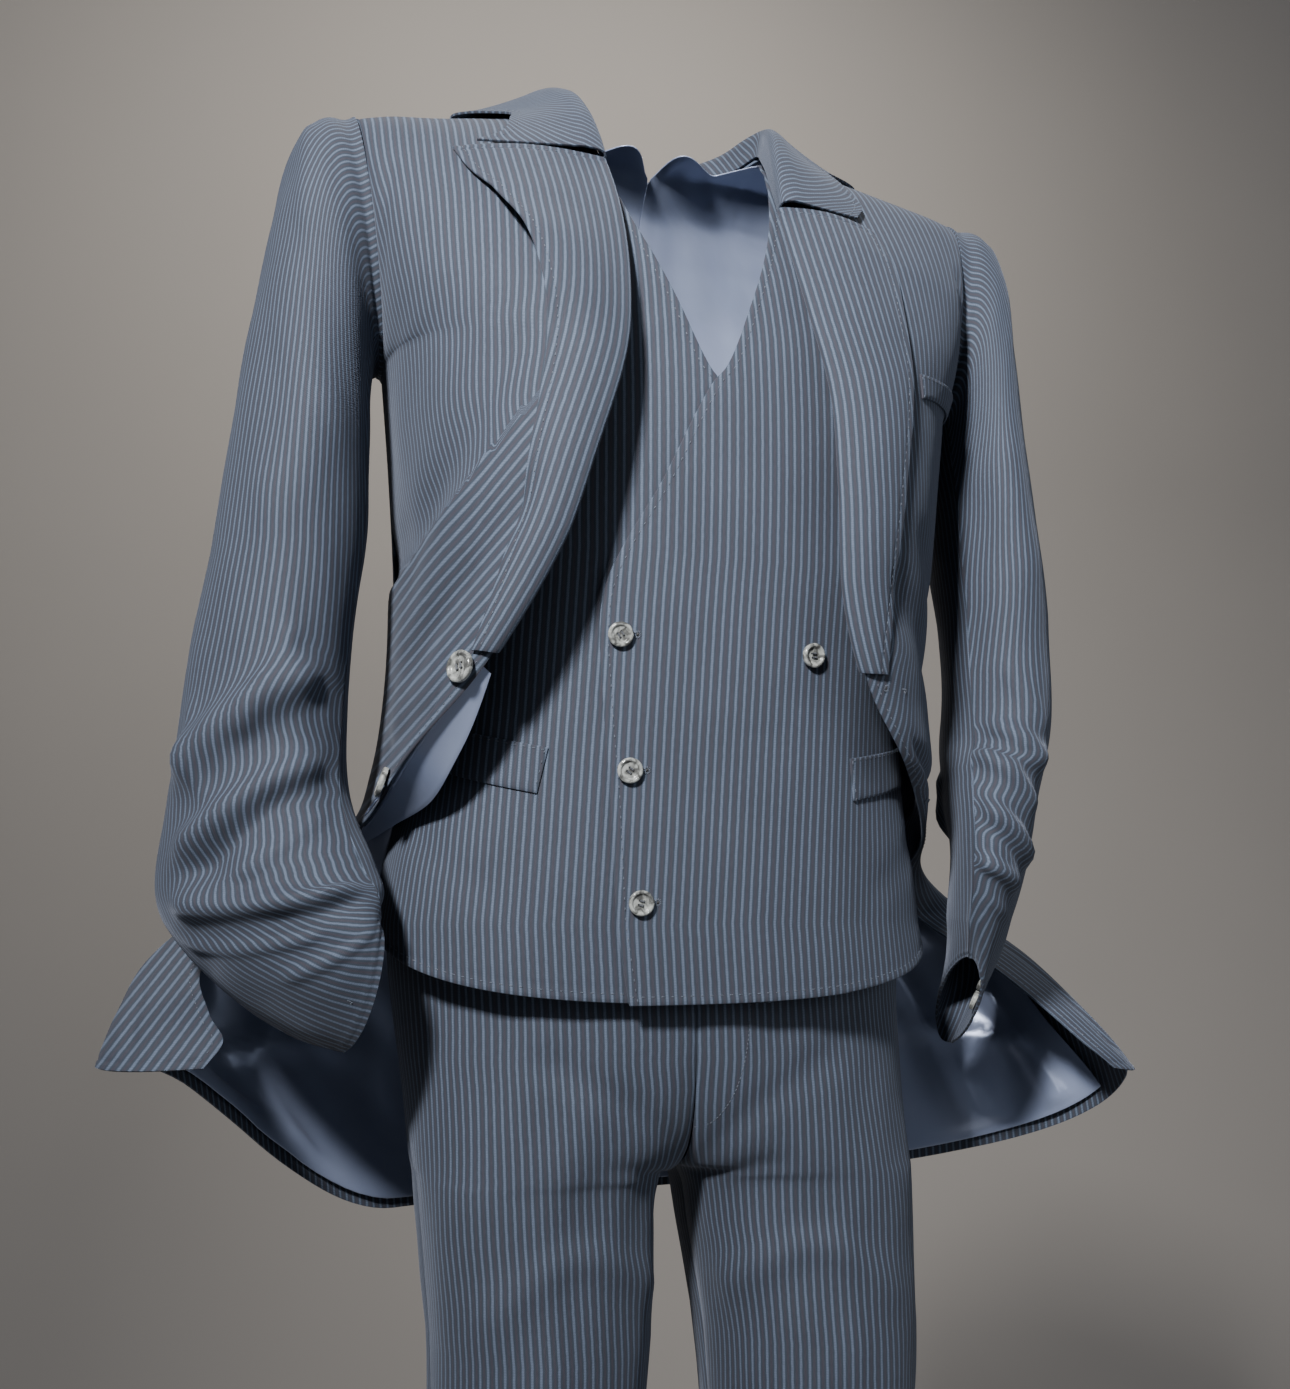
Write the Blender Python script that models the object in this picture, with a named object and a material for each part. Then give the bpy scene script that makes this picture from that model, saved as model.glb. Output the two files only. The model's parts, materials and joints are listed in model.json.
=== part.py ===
"""A three-piece suit as worn: an open jacket with its skirts swept back behind the forearms,
a double-breasted waistcoat and a pair of trousers, all hollow, each cut piece its own solid.

Metres, +Z up, front towards -Y. The wearer's right is at -X. The origin is the middle of the neck
opening, level with the tops of the shoulders. Tables give one half of the suit with +X outwards, and
stance() then leans the shoulders and shifts the hips as the suit hangs."""

import bmesh
import bpy
import numpy as np

RIGHT, LEFT = -1, 1
SIDE_NAME = {RIGHT: "right", LEFT: "left"}

# Wall thicknesses, half the width of a seam, and the step used to feel a surface's slope.
CLOTH = 0.0020
LAPEL_CLOTH = 0.0018
LINING = 0.0010
SEAM = 0.0002
LAYER = 0.0004
FEEL = 0.01

# How the whole suit stands: shoulders lean, hips and legs shift sideways.
SHOULDER_LEAN = 0.070
STANCE_Z = (0.0, -0.35, -0.58, -0.85, -1.60)
STANCE_X = (0.0, 0.0, -0.012, 0.006, 0.006)

# The armhole is a flat oval that leans inwards to the armpit.
ARMHOLE_Y, ARMHOLE_Z = 0.005, -0.120
ARMHOLE_HALF_DEPTH, ARMHOLE_HALF_HEIGHT = 0.060, 0.090
ARMHOLE_X, ARMHOLE_SLOPE = 0.2155, 0.133

# How finely the jacket's walls are cut: steps down and across.
FRONT_STEPS, FRONT_ACROSS, BACK_FROM_STEP = 24, 8, 8
BACK_TOP_STEPS = (0.0, 0.5, 1.0, 1.5, 2.0, 2.8, 3.7, 4.6, 5.5)
BACK_PLACES = (0.0, 0.09, 0.22, 0.38, 0.56, 0.77, 1.0)
SLEEVE_STEPS, UPPER_ACROSS = 24, 8
VEST_STEPS, VEST_ACROSS = 17, 9
VEST_BACK_STEPS = (0.0, 0.4, 0.8, 1.2, 1.6, 2.0, 2.7, 3.4, 4.1, 4.8, 5.5, 6.2, 7.0)

# Name, colour and roughness of the cloths and of the horn of the buttons.
SUITING = ("suiting", (0.20, 0.225, 0.27), 0.85)
SATIN = ("satin_lining", (0.19, 0.23, 0.33), 0.35)
HORN = ("horn_button", (0.36, 0.36, 0.33), 0.30)

# Jacket fronts, a row for each level: the front edge, and the flank that meets the armhole or the side
# seam. An angle in place of the flank is a place on the armhole, from its top (0) to the armpit (180).
FRONT_COLUMNS = ("edge_x", "edge_y", "edge_z", "flank_x", "flank_y", "flank_z")
FRONT_TOP = (
    (0.079, 0.000, 0.004, 0),
    (0.070, -0.045, -0.025, -30),
    (0.064, -0.080, -0.062, -60),
    (0.061, -0.122, -0.120, -90),
    (0.063, -0.155, -0.180, -130),
)
FRONT_ROWS = {
    RIGHT: (
        (0.070, -0.175, -0.235, 180),
        (0.090, -0.184, -0.300, 0.196, 0.015, -0.285),
        (0.112, -0.181, -0.365, 0.190, 0.030, -0.360),
        (0.147, -0.163, -0.432, 0.190, 0.040, -0.430),
        (0.182, -0.125, -0.478, 0.195, 0.060, -0.480),
        (0.199, -0.055, -0.512, 0.206, 0.090, -0.515),
        (0.214, 0.035, -0.540, 0.250, 0.122, -0.548),
        (0.262, 0.085, -0.575, 0.308, 0.122, -0.580),
        (0.302, 0.035, -0.610, 0.343, 0.085, -0.610),
        (0.297, -0.028, -0.636, 0.358, 0.035, -0.640),
        (0.288, -0.050, -0.652, 0.365, 0.012, -0.658),
        (0.300, -0.056, -0.668, 0.369, 0.000, -0.671),
    ),
    LEFT: (
        (0.072, -0.170, -0.240, 180),
        (0.073, -0.178, -0.305, 0.196, 0.015, -0.285),
        (0.076, -0.177, -0.370, 0.190, 0.030, -0.360),
        (0.096, -0.168, -0.430, 0.190, 0.040, -0.430),
        (0.134, -0.140, -0.478, 0.195, 0.060, -0.480),
        (0.190, -0.044, -0.521, 0.208, 0.090, -0.515),
        (0.205, 0.020, -0.550, 0.250, 0.122, -0.548),
        (0.245, 0.085, -0.580, 0.305, 0.122, -0.580),
        (0.276, 0.040, -0.612, 0.334, 0.085, -0.612),
        (0.300, -0.005, -0.645, 0.350, 0.040, -0.648),
        (0.322, -0.025, -0.672, 0.364, 0.015, -0.676),
        (0.342, -0.028, -0.690, 0.372, 0.002, -0.694),
    ),
}
# Jacket backs: angles on the armhole above the armpit with the neckline, then the spine.
BACK_TOP = (
    (0, 0.079, 0.000, 0.004),
    (25, 0.058, 0.045, 0.002),
    (50, 0.000, 0.074, -0.010),
    (80, 0.000, 0.098, -0.060),
    (110, 0.000, 0.115, -0.120),
    (145, 0.000, 0.122, -0.180),
    (180, 0.000, 0.121, -0.225),
)
SPINE_ROWS = (
    (0.112, -0.300),
    (0.101, -0.370),
    (0.098, -0.440),
    (0.108, -0.500),
    (0.121, -0.550),
    (0.132, -0.600),
    (0.141, -0.650),
    (0.148, -0.700),
    (0.154, -0.745),
    (0.158, -0.775),
    (0.160, -0.795),
)

# How much of the back's skirt turns in behind the front's at the hem.
HEM_TURN = {RIGHT: 1.0, LEFT: 0.0}

# Sleeves: the outer and inner edge of each ring, its half depth and how far that turns outwards. The
# first ring is the armhole. The left forearm reaches further across the hip than the right one.
SLEEVE_COLUMNS = ("out_x", "out_y", "out_z", "in_x", "in_y", "in_z", "half_depth", "turn")
UPPER_ARM_ROWS = {
    RIGHT: (
        (0.2530, 0.005, -0.037, 0.2100, 0.000, -0.2130, 0.066, 0.0),
        (0.2700, 0.003, -0.068, 0.2125, -0.006, -0.2240, 0.069, 0.0),
        (0.2860, -0.002, -0.150, 0.2135, -0.012, -0.2640, 0.067, 0.0),
        (0.3010, -0.005, -0.255, 0.2140, -0.020, -0.3300, 0.064, 0.0),
        (0.3140, -0.003, -0.350, 0.2200, -0.026, -0.4000, 0.062, 0.0),
        (0.3220, 0.003, -0.430, 0.2200, -0.038, -0.4500, 0.060, 0.1),
    ),
    LEFT: (
        (0.2500, 0.003, -0.037, 0.2100, 0.000, -0.2130, 0.066, 0.0),
        (0.2610, -0.002, -0.068, 0.2115, -0.006, -0.2240, 0.067, 0.0),
        (0.2660, -0.011, -0.150, 0.2120, -0.018, -0.2640, 0.065, 0.0),
        (0.2740, -0.018, -0.255, 0.2120, -0.032, -0.3300, 0.062, 0.0),
        (0.2830, -0.020, -0.350, 0.2150, -0.042, -0.4000, 0.059, 0.0),
        (0.2820, -0.018, -0.430, 0.2140, -0.054, -0.4450, 0.057, 0.1),
    ),
}
FOREARM_ROWS = {
    RIGHT: (
        (0.3240, 0.008, -0.505, 0.2170, -0.060, -0.5000, 0.056, 0.3),
        (0.3230, 0.008, -0.570, 0.2030, -0.094, -0.5420, 0.050, 0.5),
        (0.2880, -0.024, -0.618, 0.1950, -0.106, -0.5600, 0.044, 0.4),
        (0.2480, -0.054, -0.646, 0.1950, -0.108, -0.5720, 0.038, 0.0),
        (0.2160, -0.072, -0.657, 0.1960, -0.102, -0.5790, 0.034, -0.3),
    ),
    LEFT: (
        (0.2740, -0.018, -0.500, 0.2050, -0.078, -0.4720, 0.050, 0.1),
        (0.2680, -0.014, -0.562, 0.2020, -0.096, -0.5180, 0.040, 0.1),
        (0.2560, -0.006, -0.606, 0.2060, -0.092, -0.5560, 0.035, 0.1),
        (0.2430, 0.002, -0.640, 0.2120, -0.078, -0.5840, 0.032, 0.0),
        (0.2270, 0.010, -0.672, 0.2190, -0.060, -0.6060, 0.030, 0.0),
    ),
}
SLEEVE_RINGS = 1 + len(UPPER_ARM_ROWS[RIGHT]) + len(FOREARM_ROWS[RIGHT])
# The two seams twist round the sleeve from the armhole to the cuff: shares of the way round.
BACK_SEAM, FRONT_SEAM = (-0.15, 0.03), (0.40, 0.49)
# Folds run from one place on a surface to another; depth is inwards, widths are in metres.
FOLD_COLUMNS = ("from_s", "from_t", "to_s", "to_t", "half_width", "depth")
SLEEVE_SIZE = (0.36, 0.070)
SLEEVE_FOLDS = {
    RIGHT: (
        (0.36, 5.6, 0.12, 6.9, 0.014, 0.013),
        (0.40, 6.6, 0.16, 7.6, 0.012, 0.011),
        (0.16, 8.0, 0.42, 8.9, 0.013, 0.012),
        (0.34, 7.0, 0.20, 7.9, 0.011, -0.007),
        (0.95, 6.4, 0.72, 7.4, 0.018, 0.008),
        (0.30, 3.4, 0.20, 4.6, 0.020, 0.005),
    ),
    LEFT: (
        (0.40, 5.9, 0.22, 6.7, 0.012, 0.007),
        (0.44, 6.7, 0.24, 7.3, 0.012, 0.008),
        (0.42, 7.6, 0.22, 7.9, 0.011, 0.008),
        (0.44, 8.5, 0.26, 8.4, 0.010, 0.006),
        (0.95, 6.4, 0.72, 7.4, 0.018, 0.008),
        (0.30, 3.2, 0.22, 4.4, 0.020, 0.004),
    ),
}
FRONT_SIZE = (0.28, 0.065)
FRONT_FOLDS = {
    RIGHT: ((0.10, 6.3, 0.75, 8.2, 0.018, 0.006), (0.20, 8.3, 0.80, 8.9, 0.014, 0.005)),
    LEFT: ((0.15, 6.8, 0.70, 8.0, 0.018, 0.004), (0.10, 8.7, 0.60, 9.4, 0.012, 0.005)),
}

# Lapels, folded back over the fronts: the front's row, their width and how far the free edge stands off.
LAPEL_COLUMNS = ("row", "width", "stand_off")
LAPEL_ROWS = {
    RIGHT: (
        (2.10, 0.102, 0.0000),
        (2.60, 0.094, 0.0015),
        (3.10, 0.078, 0.0070),
        (3.70, 0.061, 0.0170),
        (4.40, 0.049, 0.0160),
        (5.10, 0.044, 0.0035),
        (6.00, 0.036, 0.0010),
        (7.00, 0.028, 0.0005),
        (7.85, 0.013, 0.0000),
    ),
    LEFT: (
        (2.46, 0.068, 0.0000),
        (2.80, 0.072, 0.0005),
        (3.20, 0.075, 0.0010),
        (3.80, 0.071, 0.0020),
        (4.40, 0.066, 0.0030),
        (5.10, 0.059, 0.0030),
        (6.00, 0.047, 0.0020),
        (7.00, 0.034, 0.0010),
        (7.85, 0.015, 0.0000),
    ),
}
LAPEL_FULLNESS = 0.004
# The strip of front lining: the front's steps that it covers, how far it bulges at each in shares of
# the front's width, its width in the front's columns, and the way that it bulges.
LINING_STEPS, LINING_ACROSS = (12, 17), 3
LINING_BULGE = (0.025, 0.080, 0.100, 0.060, 0.020)
LINING_OUT = (-0.218, 0.028, -0.171)
ROLL_CENTRE, ROLL_RADIUS = 0.0010, 0.0037
COLLAR_CLEAR = 0.0036

# The collar, a row for each section from its front end to the back of the neck: places on the fronts
# or the back where its stand is sewn and where its edge lies, and the height of its fold.
COLLAR_COLUMNS = ("panel", "seam_s", "seam_t", "edge_width", "edge_t", "stand")
COLLAR_END = {RIGHT: (2.093, 0.084, 1.99), LEFT: (2.453, 0.056, 2.34)}
COLLAR_FRONT_ROWS = ((1.75, 0.064, 1.70, 0.008), (1.20, 0.054, 1.20, 0.013), (0.60, 0.048, 0.60, 0.018))
COLLAR_BACK_ROWS = (
    (0.00, 0.046, 0.00, 0.022),
    (0.50, 0.044, 0.80, 0.024),
    (1.00, 0.040, 1.50, 0.026),
    (1.50, 0.022, 2.30, 0.027),
    (2.00, 0.000, 2.85, 0.027),
)

# The body that the waistcoat lies on, a row for each level. Its shoulders slope outside the neck.
BODY_COLUMNS = ("z", "half_width", "front", "back")
BODY_ROWS = (
    (-0.002, 0.200, 0.000, 0.000),
    (-0.008, 0.200, 0.010, 0.030),
    (-0.030, 0.200, 0.040, 0.062),
    (-0.060, 0.200, 0.072, 0.078),
    (-0.100, 0.199, 0.100, 0.092),
    (-0.150, 0.194, 0.128, 0.102),
    (-0.200, 0.186, 0.143, 0.106),
    (-0.250, 0.180, 0.149, 0.103),
    (-0.350, 0.172, 0.147, 0.089),
    (-0.450, 0.170, 0.141, 0.086),
    (-0.500, 0.177, 0.138, 0.092),
    (-0.550, 0.187, 0.136, 0.103),
    (-0.600, 0.194, 0.134, 0.119),
    (-0.640, 0.198, 0.132, 0.130),
)
BODY_POWER = 2.5
BODY_NECK, BODY_SLOPE = 0.077, 0.172
# Waistcoat: the inner edge, which crosses to the far side in front, and the outer edge at the armhole.
VEST_COLUMNS = ("edge_x", "edge_z", "side_x", "side_z")
SIDE = 1.0
VEST_FRONT_ROWS = (
    (0.077, -0.002, 0.135, -0.012),
    (0.064, -0.050, 0.130, -0.060),
    (0.049, -0.112, 0.137, -0.120),
    (0.024, -0.180, 0.158, -0.180),
    (0.000, -0.232, SIDE, -0.222),
    (-0.036, -0.302, SIDE, -0.290),
    (-0.071, -0.374, SIDE, -0.355),
    (-0.068, -0.440, SIDE, -0.420),
    (-0.059, -0.505, SIDE, -0.480),
    (-0.052, -0.570, SIDE, -0.535),
    (-0.046, -0.629, SIDE, -0.580),
)
VEST_BACK_ROWS = (
    (0.077, -0.002, 0.135, -0.012),
    (0.050, -0.006, 0.132, -0.050),
    (0.000, -0.012, 0.137, -0.105),
    (0.000, -0.110, 0.158, -0.170),
    (0.000, -0.225, SIDE, -0.222),
    (0.000, -0.340, SIDE, -0.340),
    (0.000, -0.460, SIDE, -0.460),
    (0.000, -0.590, SIDE, -0.580),
)
OVERLAP_LIFT, OVERLAP_FROM, OVERLAP_TO = 0.0042, 0.085, 0.130

# Trouser legs: centre, half width and the depths before and behind, a row for each level.
LEG_COLUMNS = ("z", "centre_x", "half_width", "centre_y", "front", "back")
LEG_ROWS = (
    (-0.460, 0.0000, 0.163, 0.000, 0.126, 0.0840),
    (-0.500, 0.0000, 0.168, 0.000, 0.127, 0.0890),
    (-0.550, 0.0000, 0.176, 0.000, 0.127, 0.0980),
    (-0.600, 0.0000, 0.181, 0.000, 0.123, 0.107),
    (-0.640, 0.0100, 0.169, 0.000, 0.119, 0.114),
    (-0.690, 0.0450, 0.130, 0.000, 0.110, 0.112),
    (-0.735, 0.0790, 0.0930, 0.000, 0.102, 0.104),
    (-0.752, 0.0900, 0.0795, 0.000, 0.098, 0.100),
    (-0.800, 0.0920, 0.0755, 0.000, 0.095, 0.095),
    (-0.880, 0.0940, 0.0710, -0.005, 0.090, 0.088),
    (-1.000, 0.0960, 0.0660, -0.005, 0.084, 0.079),
    (-1.100, 0.1000, 0.0620, -0.005, 0.077, 0.073),
    (-1.250, 0.1060, 0.0590, 0.000, 0.070, 0.071),
    (-1.400, 0.1120, 0.0570, 0.005, 0.068, 0.071),
    (-1.545, 0.1180, 0.0580, 0.010, 0.076, 0.070),
)
WAIST_ROW, CROTCH_ROW = 1, 7

# Buttons: radius, thickness and length of the thread shank.
JACKET_BUTTON = (0.0100, 0.0034, 0.0016)
VEST_BUTTON = (0.0080, 0.0030, 0.0012)
CUFF_BUTTON = (0.0072, 0.0028, 0.0012)
BUTTON_SHARES = ((0.24, 0), (0.24, 1), (0.86, 1), (1.0, 1.35), (0.98, 1.85), (0.84, 2.0), (0.70, 1.8))
JACKET_BUTTON_ROWS = ((8.0, 0.013), (9.5, 0.014))
CUFF_BUTTON_ACROSS = {RIGHT: 0.25, LEFT: 0.35}
CUFF_BUTTON_STEPS = {RIGHT: (20.3, 21.1, 21.95, 22.9), LEFT: (19.6, 20.7, 21.8, 22.9)}
VEST_BUTTONS = ((0.040, 6.45), (0.038, 7.72), (0.040, 8.95), (0.340, 6.60))

# Pocket welts: from and to across, from and to down, and how far their outer ends rise.
BREAST_WELT = (0.37, 0.80, 4.52, 4.98, -0.22)
VEST_WELT = {RIGHT: (0.43, 0.72, 7.62, 8.05, -0.10), LEFT: (0.43, 0.72, 7.62, 8.05, -0.10)}


def spline(rows, at):
    """Rows of numbers read along a smooth curve through them, at row numbers that may be fractions."""
    rows = np.asarray(rows, float)
    padded = np.vstack([2 * rows[:1] - rows[1:2], rows, 2 * rows[-1:] - rows[-2:-1]])
    at = np.asarray(at, float)
    first = np.clip(at.astype(int), 0, len(rows) - 2)
    part = (at - first)[..., None]
    a, b, c, d = (padded[first + k] for k in range(4))
    square = part * part
    return b + 0.5 * (
        (c - a) * part + (2 * a - 5 * b + 4 * c - d) * square + (3 * b - a - 3 * c + d) * square * part
    )


def unit(vectors):
    """Vectors scaled to a length of one."""
    return vectors / np.maximum(np.linalg.norm(vectors, axis=-1, keepdims=True), 1e-12)


def smooth(share):
    """A soft step from 0 to 1."""
    share = np.clip(share, 0, 1)
    return share * share * (3 - 2 * share)


def spread(low, high, count):
    """Evenly spaced numbers."""
    return np.linspace(low, high, count)


def armhole(degrees):
    """Points of the armhole's oval: 0 is its top, -90 the front, 90 the back, 180 the armpit."""
    angle = np.radians(np.asarray(degrees, float))
    z = ARMHOLE_Z + ARMHOLE_HALF_HEIGHT * np.cos(angle)
    y = ARMHOLE_Y + ARMHOLE_HALF_DEPTH * np.sin(angle)
    return np.stack([ARMHOLE_X + ARMHOLE_SLOPE * (z - ARMHOLE_Z), y, z], axis=-1)


ARMHOLE_OUT = unit(np.array([1.0, 0.0, -ARMHOLE_SLOPE]))


def stance(points):
    """Points of the straight suit moved to how the worn suit stands."""
    moved = np.array(points, float)
    moved[..., 2] -= SHOULDER_LEAN * moved[..., 0] * smooth((moved[..., 2] + 0.60) / 0.40)
    moved[..., 0] += np.interp(-points[..., 2], -np.array(STANCE_Z), STANCE_X)
    return moved


def mirrored(points, side):
    """Points of the +X half moved to the given side."""
    return points * np.array([side, 1.0, 1.0])


def fold_depth(folds, size, s, t):
    """How far inwards a table of folds presses a surface at places on it."""
    depth = np.zeros(np.broadcast(s, t).shape)
    for from_s, from_t, to_s, to_t, half_width, deep in folds:
        run = np.array([(to_s - from_s) * size[0], (to_t - from_t) * size[1]])
        length = np.hypot(*run)
        along = ((s - from_s) * size[0] * run[0] + (t - from_t) * size[1] * run[1]) / length**2
        beside = ((s - from_s) * size[0] * run[1] - (t - from_t) * size[1] * run[0]) / length
        end = np.clip(np.abs(along - 0.5) - 0.32, 0, None) * length
        depth += deep * np.exp(-((beside / half_width) ** 2) - (end / (1.3 * half_width)) ** 2)
    return depth


def slopes(surface, s, t):
    """Directions across and down a surface at places on it."""
    across = unit(surface(s + FEEL, t) - surface(s - FEEL, t))
    down = unit(surface(s, t + FEEL) - surface(s, t - FEEL))
    return across, down


def pressed(surface, folds, size, side):
    """A surface with its folds pressed in."""

    def folded(s, t):
        points = surface(s, t)
        if not folds:
            return points
        across, down = slopes(surface, s, t)
        normal = unit(np.cross(across, down)) * side
        return points - normal * fold_depth(folds, size, s, t)[..., None]

    return folded


def front_rows(side):
    """How many rows a jacket front has, and a jacket back."""
    return len(FRONT_TOP) + len(FRONT_ROWS[side]), len(BACK_TOP) + len(SPINE_ROWS)


def flank_line(side, angles, t):
    """The outer edge of a jacket panel at row t: round the armhole, then down the side seam."""
    below = np.array([armhole(180), *(row[3:] for row in FRONT_ROWS[side][1:])])
    last = len(angles) - 1
    on_hole = armhole(np.interp(t, np.arange(last + 1), angles))
    return np.where((t < last)[..., None], on_hole, spline(below, np.maximum(t - last, 0)))


def jacket_front(side):
    """The surface of a jacket front: s from its edge to its flank, t in table rows."""
    rows = FRONT_TOP + FRONT_ROWS[side]
    edges = [row[:3] for row in rows]
    angles = [row[3] for row in FRONT_TOP] + [-180]

    def surface(s, t):
        s, t = np.broadcast_arrays(s, t)
        edge, flank = spline(edges, t), flank_line(side, angles, t)
        turn = np.radians(90) * s[..., None]
        out, back = np.sin(turn), 1 - np.cos(turn)
        share = np.concatenate([out, back, out], axis=-1)
        return mirrored(edge + (flank - edge) * share, side)

    return pressed(surface, FRONT_FOLDS[side], FRONT_SIZE, -side)


def jacket_back(side):
    """The surface of a jacket back: s from its flank to the spine, t in table rows."""
    spine = [row[1:] for row in BACK_TOP] + [(0.0, *row) for row in SPINE_ROWS]
    angles = [row[0] for row in BACK_TOP]

    def surface(s, t):
        s, t = np.broadcast_arrays(s, t)
        middle, flank = spline(spine, t), flank_line(side, angles, t)
        middle[..., 0] = np.where(t < 2, np.maximum(middle[..., 0], 0), 0)
        turn = np.radians(90) * s[..., None]
        across, back = 1 - np.cos(turn), np.sin(turn)
        drop = smooth((t[..., None] - 8) / 6)
        turned = HEM_TURN[side] * smooth((t[..., None] - 14) / 2.5)
        inwards = across + 0.13 * np.sin(2 * turn) * smooth(s[..., None] / 0.22) * turned
        steep = np.abs(back) ** 0.75
        steep += (smooth((s[..., None] - 0.09) / 0.50) - steep) * turned
        share = np.concatenate([inwards, back, across + (steep - across) * drop], axis=-1)
        return mirrored(flank + (middle - flank) * share, side)

    return surface


def sleeve(side):
    """The surface of a sleeve: s round it from the outside to the front and on, t in table rows."""
    rings = np.array(UPPER_ARM_ROWS[side] + FOREARM_ROWS[side])
    outer, inner = rings[:, :3], rings[:, 3:6]
    deep = np.stack([rings[:, 7], -np.ones(len(rings)), np.zeros(len(rings))], axis=1)
    table = np.concatenate([(outer + inner) / 2, (outer - inner) / 2, unit(deep) * rings[:, 6:7]], axis=1)
    top, front, end = armhole(0), armhole(-90), armhole(180)
    centre = (top + end) / 2
    start = np.concatenate([centre + ARMHOLE_OUT * 3 * SEAM, (top - end) / 2, front - centre])
    table = np.vstack([start, table])

    def surface(s, t):
        s, t = np.broadcast_arrays(s, t)
        row = spline(table, t)
        turn = 2 * np.pi * s[..., None]
        return mirrored(row[..., :3] + row[..., 3:6] * np.cos(turn) + row[..., 6:] * np.sin(turn), side)

    return pressed(surface, SLEEVE_FOLDS[side], SLEEVE_SIZE, -side)


def body_point(x_share, z, behind):
    """Points of the body: x_share is the superellipse angle from the middle, 90 degrees at the side."""
    rows = np.array(BODY_ROWS)

    def at(level):
        return spline(rows[:, 1:], np.interp(-level, -rows[:, 0], np.arange(len(rows))))

    angle = np.radians(x_share)
    width = at(z)[..., 0]
    x = width * np.sign(angle) * np.abs(np.sin(angle)) ** (2 / BODY_POWER)
    level = np.minimum(z + BODY_SLOPE * np.clip(np.abs(x) - BODY_NECK, 0, None), rows[0, 0])
    depth = at(level)[..., 2 if behind else 1]
    y = depth * np.abs(np.cos(angle)) ** (2 / BODY_POWER)
    return np.stack([x, y if behind else -y, z], axis=-1)


def body_angle(x, z):
    """The superellipse angle of a point of the body a distance from its middle."""
    rows = np.array(BODY_ROWS)
    width = np.interp(-z, -rows[:, 0], rows[:, 1])
    share = np.clip(np.abs(x) / width, 0, 1)
    return np.degrees(np.arcsin(share ** (BODY_POWER / 2))) * np.sign(x)


def vest_surface(rows, side, behind):
    """A waistcoat piece: s from its inner edge to its outer edge, t in table rows."""
    table = []
    for edge_x, edge_z, side_x, side_z in rows:
        side_angle = 90.0 if side_x == SIDE else body_angle(side_x, side_z)
        table.append((body_angle(edge_x, edge_z), edge_z, side_angle, side_z))

    def surface(s, t):
        s, t = np.broadcast_arrays(s, t)
        row = spline(table, t)
        outer = np.minimum(row[..., 2], 90)
        row[..., 0] = np.maximum(row[..., 0], 0) if behind else row[..., 0]
        angle = row[..., 0] + (outer - row[..., 0]) * s
        share = s + (np.abs(s) ** 2.2 - s) * smooth((t - 6) / 4)
        z = row[..., 1] + (row[..., 3] - row[..., 1]) * share
        return mirrored(body_point(angle, z, behind), side)

    return surface


def leg_surface(side, behind):
    """A trouser panel: s from the middle or inner leg seam to the side seam, t in table rows. Round the
    top of the thigh its section is fuller than an oval."""

    def surface(s, t):
        s, t = np.broadcast_arrays(s, t)
        row = spline(LEG_ROWS, t)
        z, centre, width, middle, front, back = np.moveaxis(row, -1, 0)
        centre = np.maximum(centre, 0)
        inner = -np.degrees(np.arcsin(np.clip(centre / width, 0, 1)))
        inner = np.where(t >= CROTCH_ROW, -90.0, inner)
        angle = np.radians(inner + (90 - inner) * s)
        x = centre + width * np.sin(angle)
        full = 1 - 0.4 * np.exp(-(((t - 7.5) / 2.0) ** 2))
        y = middle + (back if behind else -front) * np.sign(np.cos(angle)) * np.abs(np.cos(angle)) ** full
        return mirrored(np.stack([x, y, z], axis=-1), side)

    return surface


def material(finish):
    """The material of a finish, made once."""
    name, colour, roughness = finish
    found = bpy.data.materials.get(name)
    if found:
        return found
    made = bpy.data.materials.new(name)
    made.use_nodes = True
    shader = made.node_tree.nodes["Principled BSDF"]
    shader.inputs["Base Color"].default_value = (*colour, 1.0)
    shader.inputs["Roughness"].default_value = roughness
    return made


def add_solid(name, vertices, faces, finish):
    """A closed mesh object from vertices and faces, its faces turned outwards."""
    mesh = bpy.data.meshes.new(name)
    mesh.from_pydata([tuple(v) for v in vertices], [], faces)
    shape = bmesh.new()
    shape.from_mesh(mesh)
    bmesh.ops.recalc_face_normals(shape, faces=shape.faces)
    if shape.calc_volume(signed=True) < 0:
        bmesh.ops.reverse_faces(shape, faces=shape.faces)
    shape.to_mesh(mesh)
    shape.free()
    made = bpy.data.objects.new(name, mesh)
    made.data.materials.append(material(finish))
    bpy.context.scene.collection.objects.link(made)
    return made


def grid_wall(name, outer, inner, finish):
    """A closed wall between two grids of points."""
    rows, columns = outer.shape[:2]
    count = rows * columns
    number = np.arange(count).reshape(rows, columns)
    faces = []
    for i in range(rows - 1):
        for j in range(columns - 1):
            ring = [number[i, j], number[i, j + 1], number[i + 1, j + 1], number[i + 1, j]]
            a, b, c, d = ring
            faces += [[a, b, c], [a, c, d], [c + count, b + count, a + count], [d + count, c + count, a + count]]
    border = [*number[0], *number[1:, -1], *number[-1, -2::-1], *number[-2:0:-1, 0]]
    faces += [[b, a, a + count, b + count] for a, b in zip(border, border[1:] + border[:1])]
    vertices = stance(np.vstack([outer.reshape(-1, 3), inner.reshape(-1, 3)]))
    return add_solid(name, vertices, [[int(k) for k in face] for face in faces], finish)


def edge_slice(edge):
    """Where an edge of a grid lies in it."""
    return {"start": (slice(None), 0), "end": (slice(None), -1), "top": (0,), "foot": (-1,)}[edge]


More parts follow.
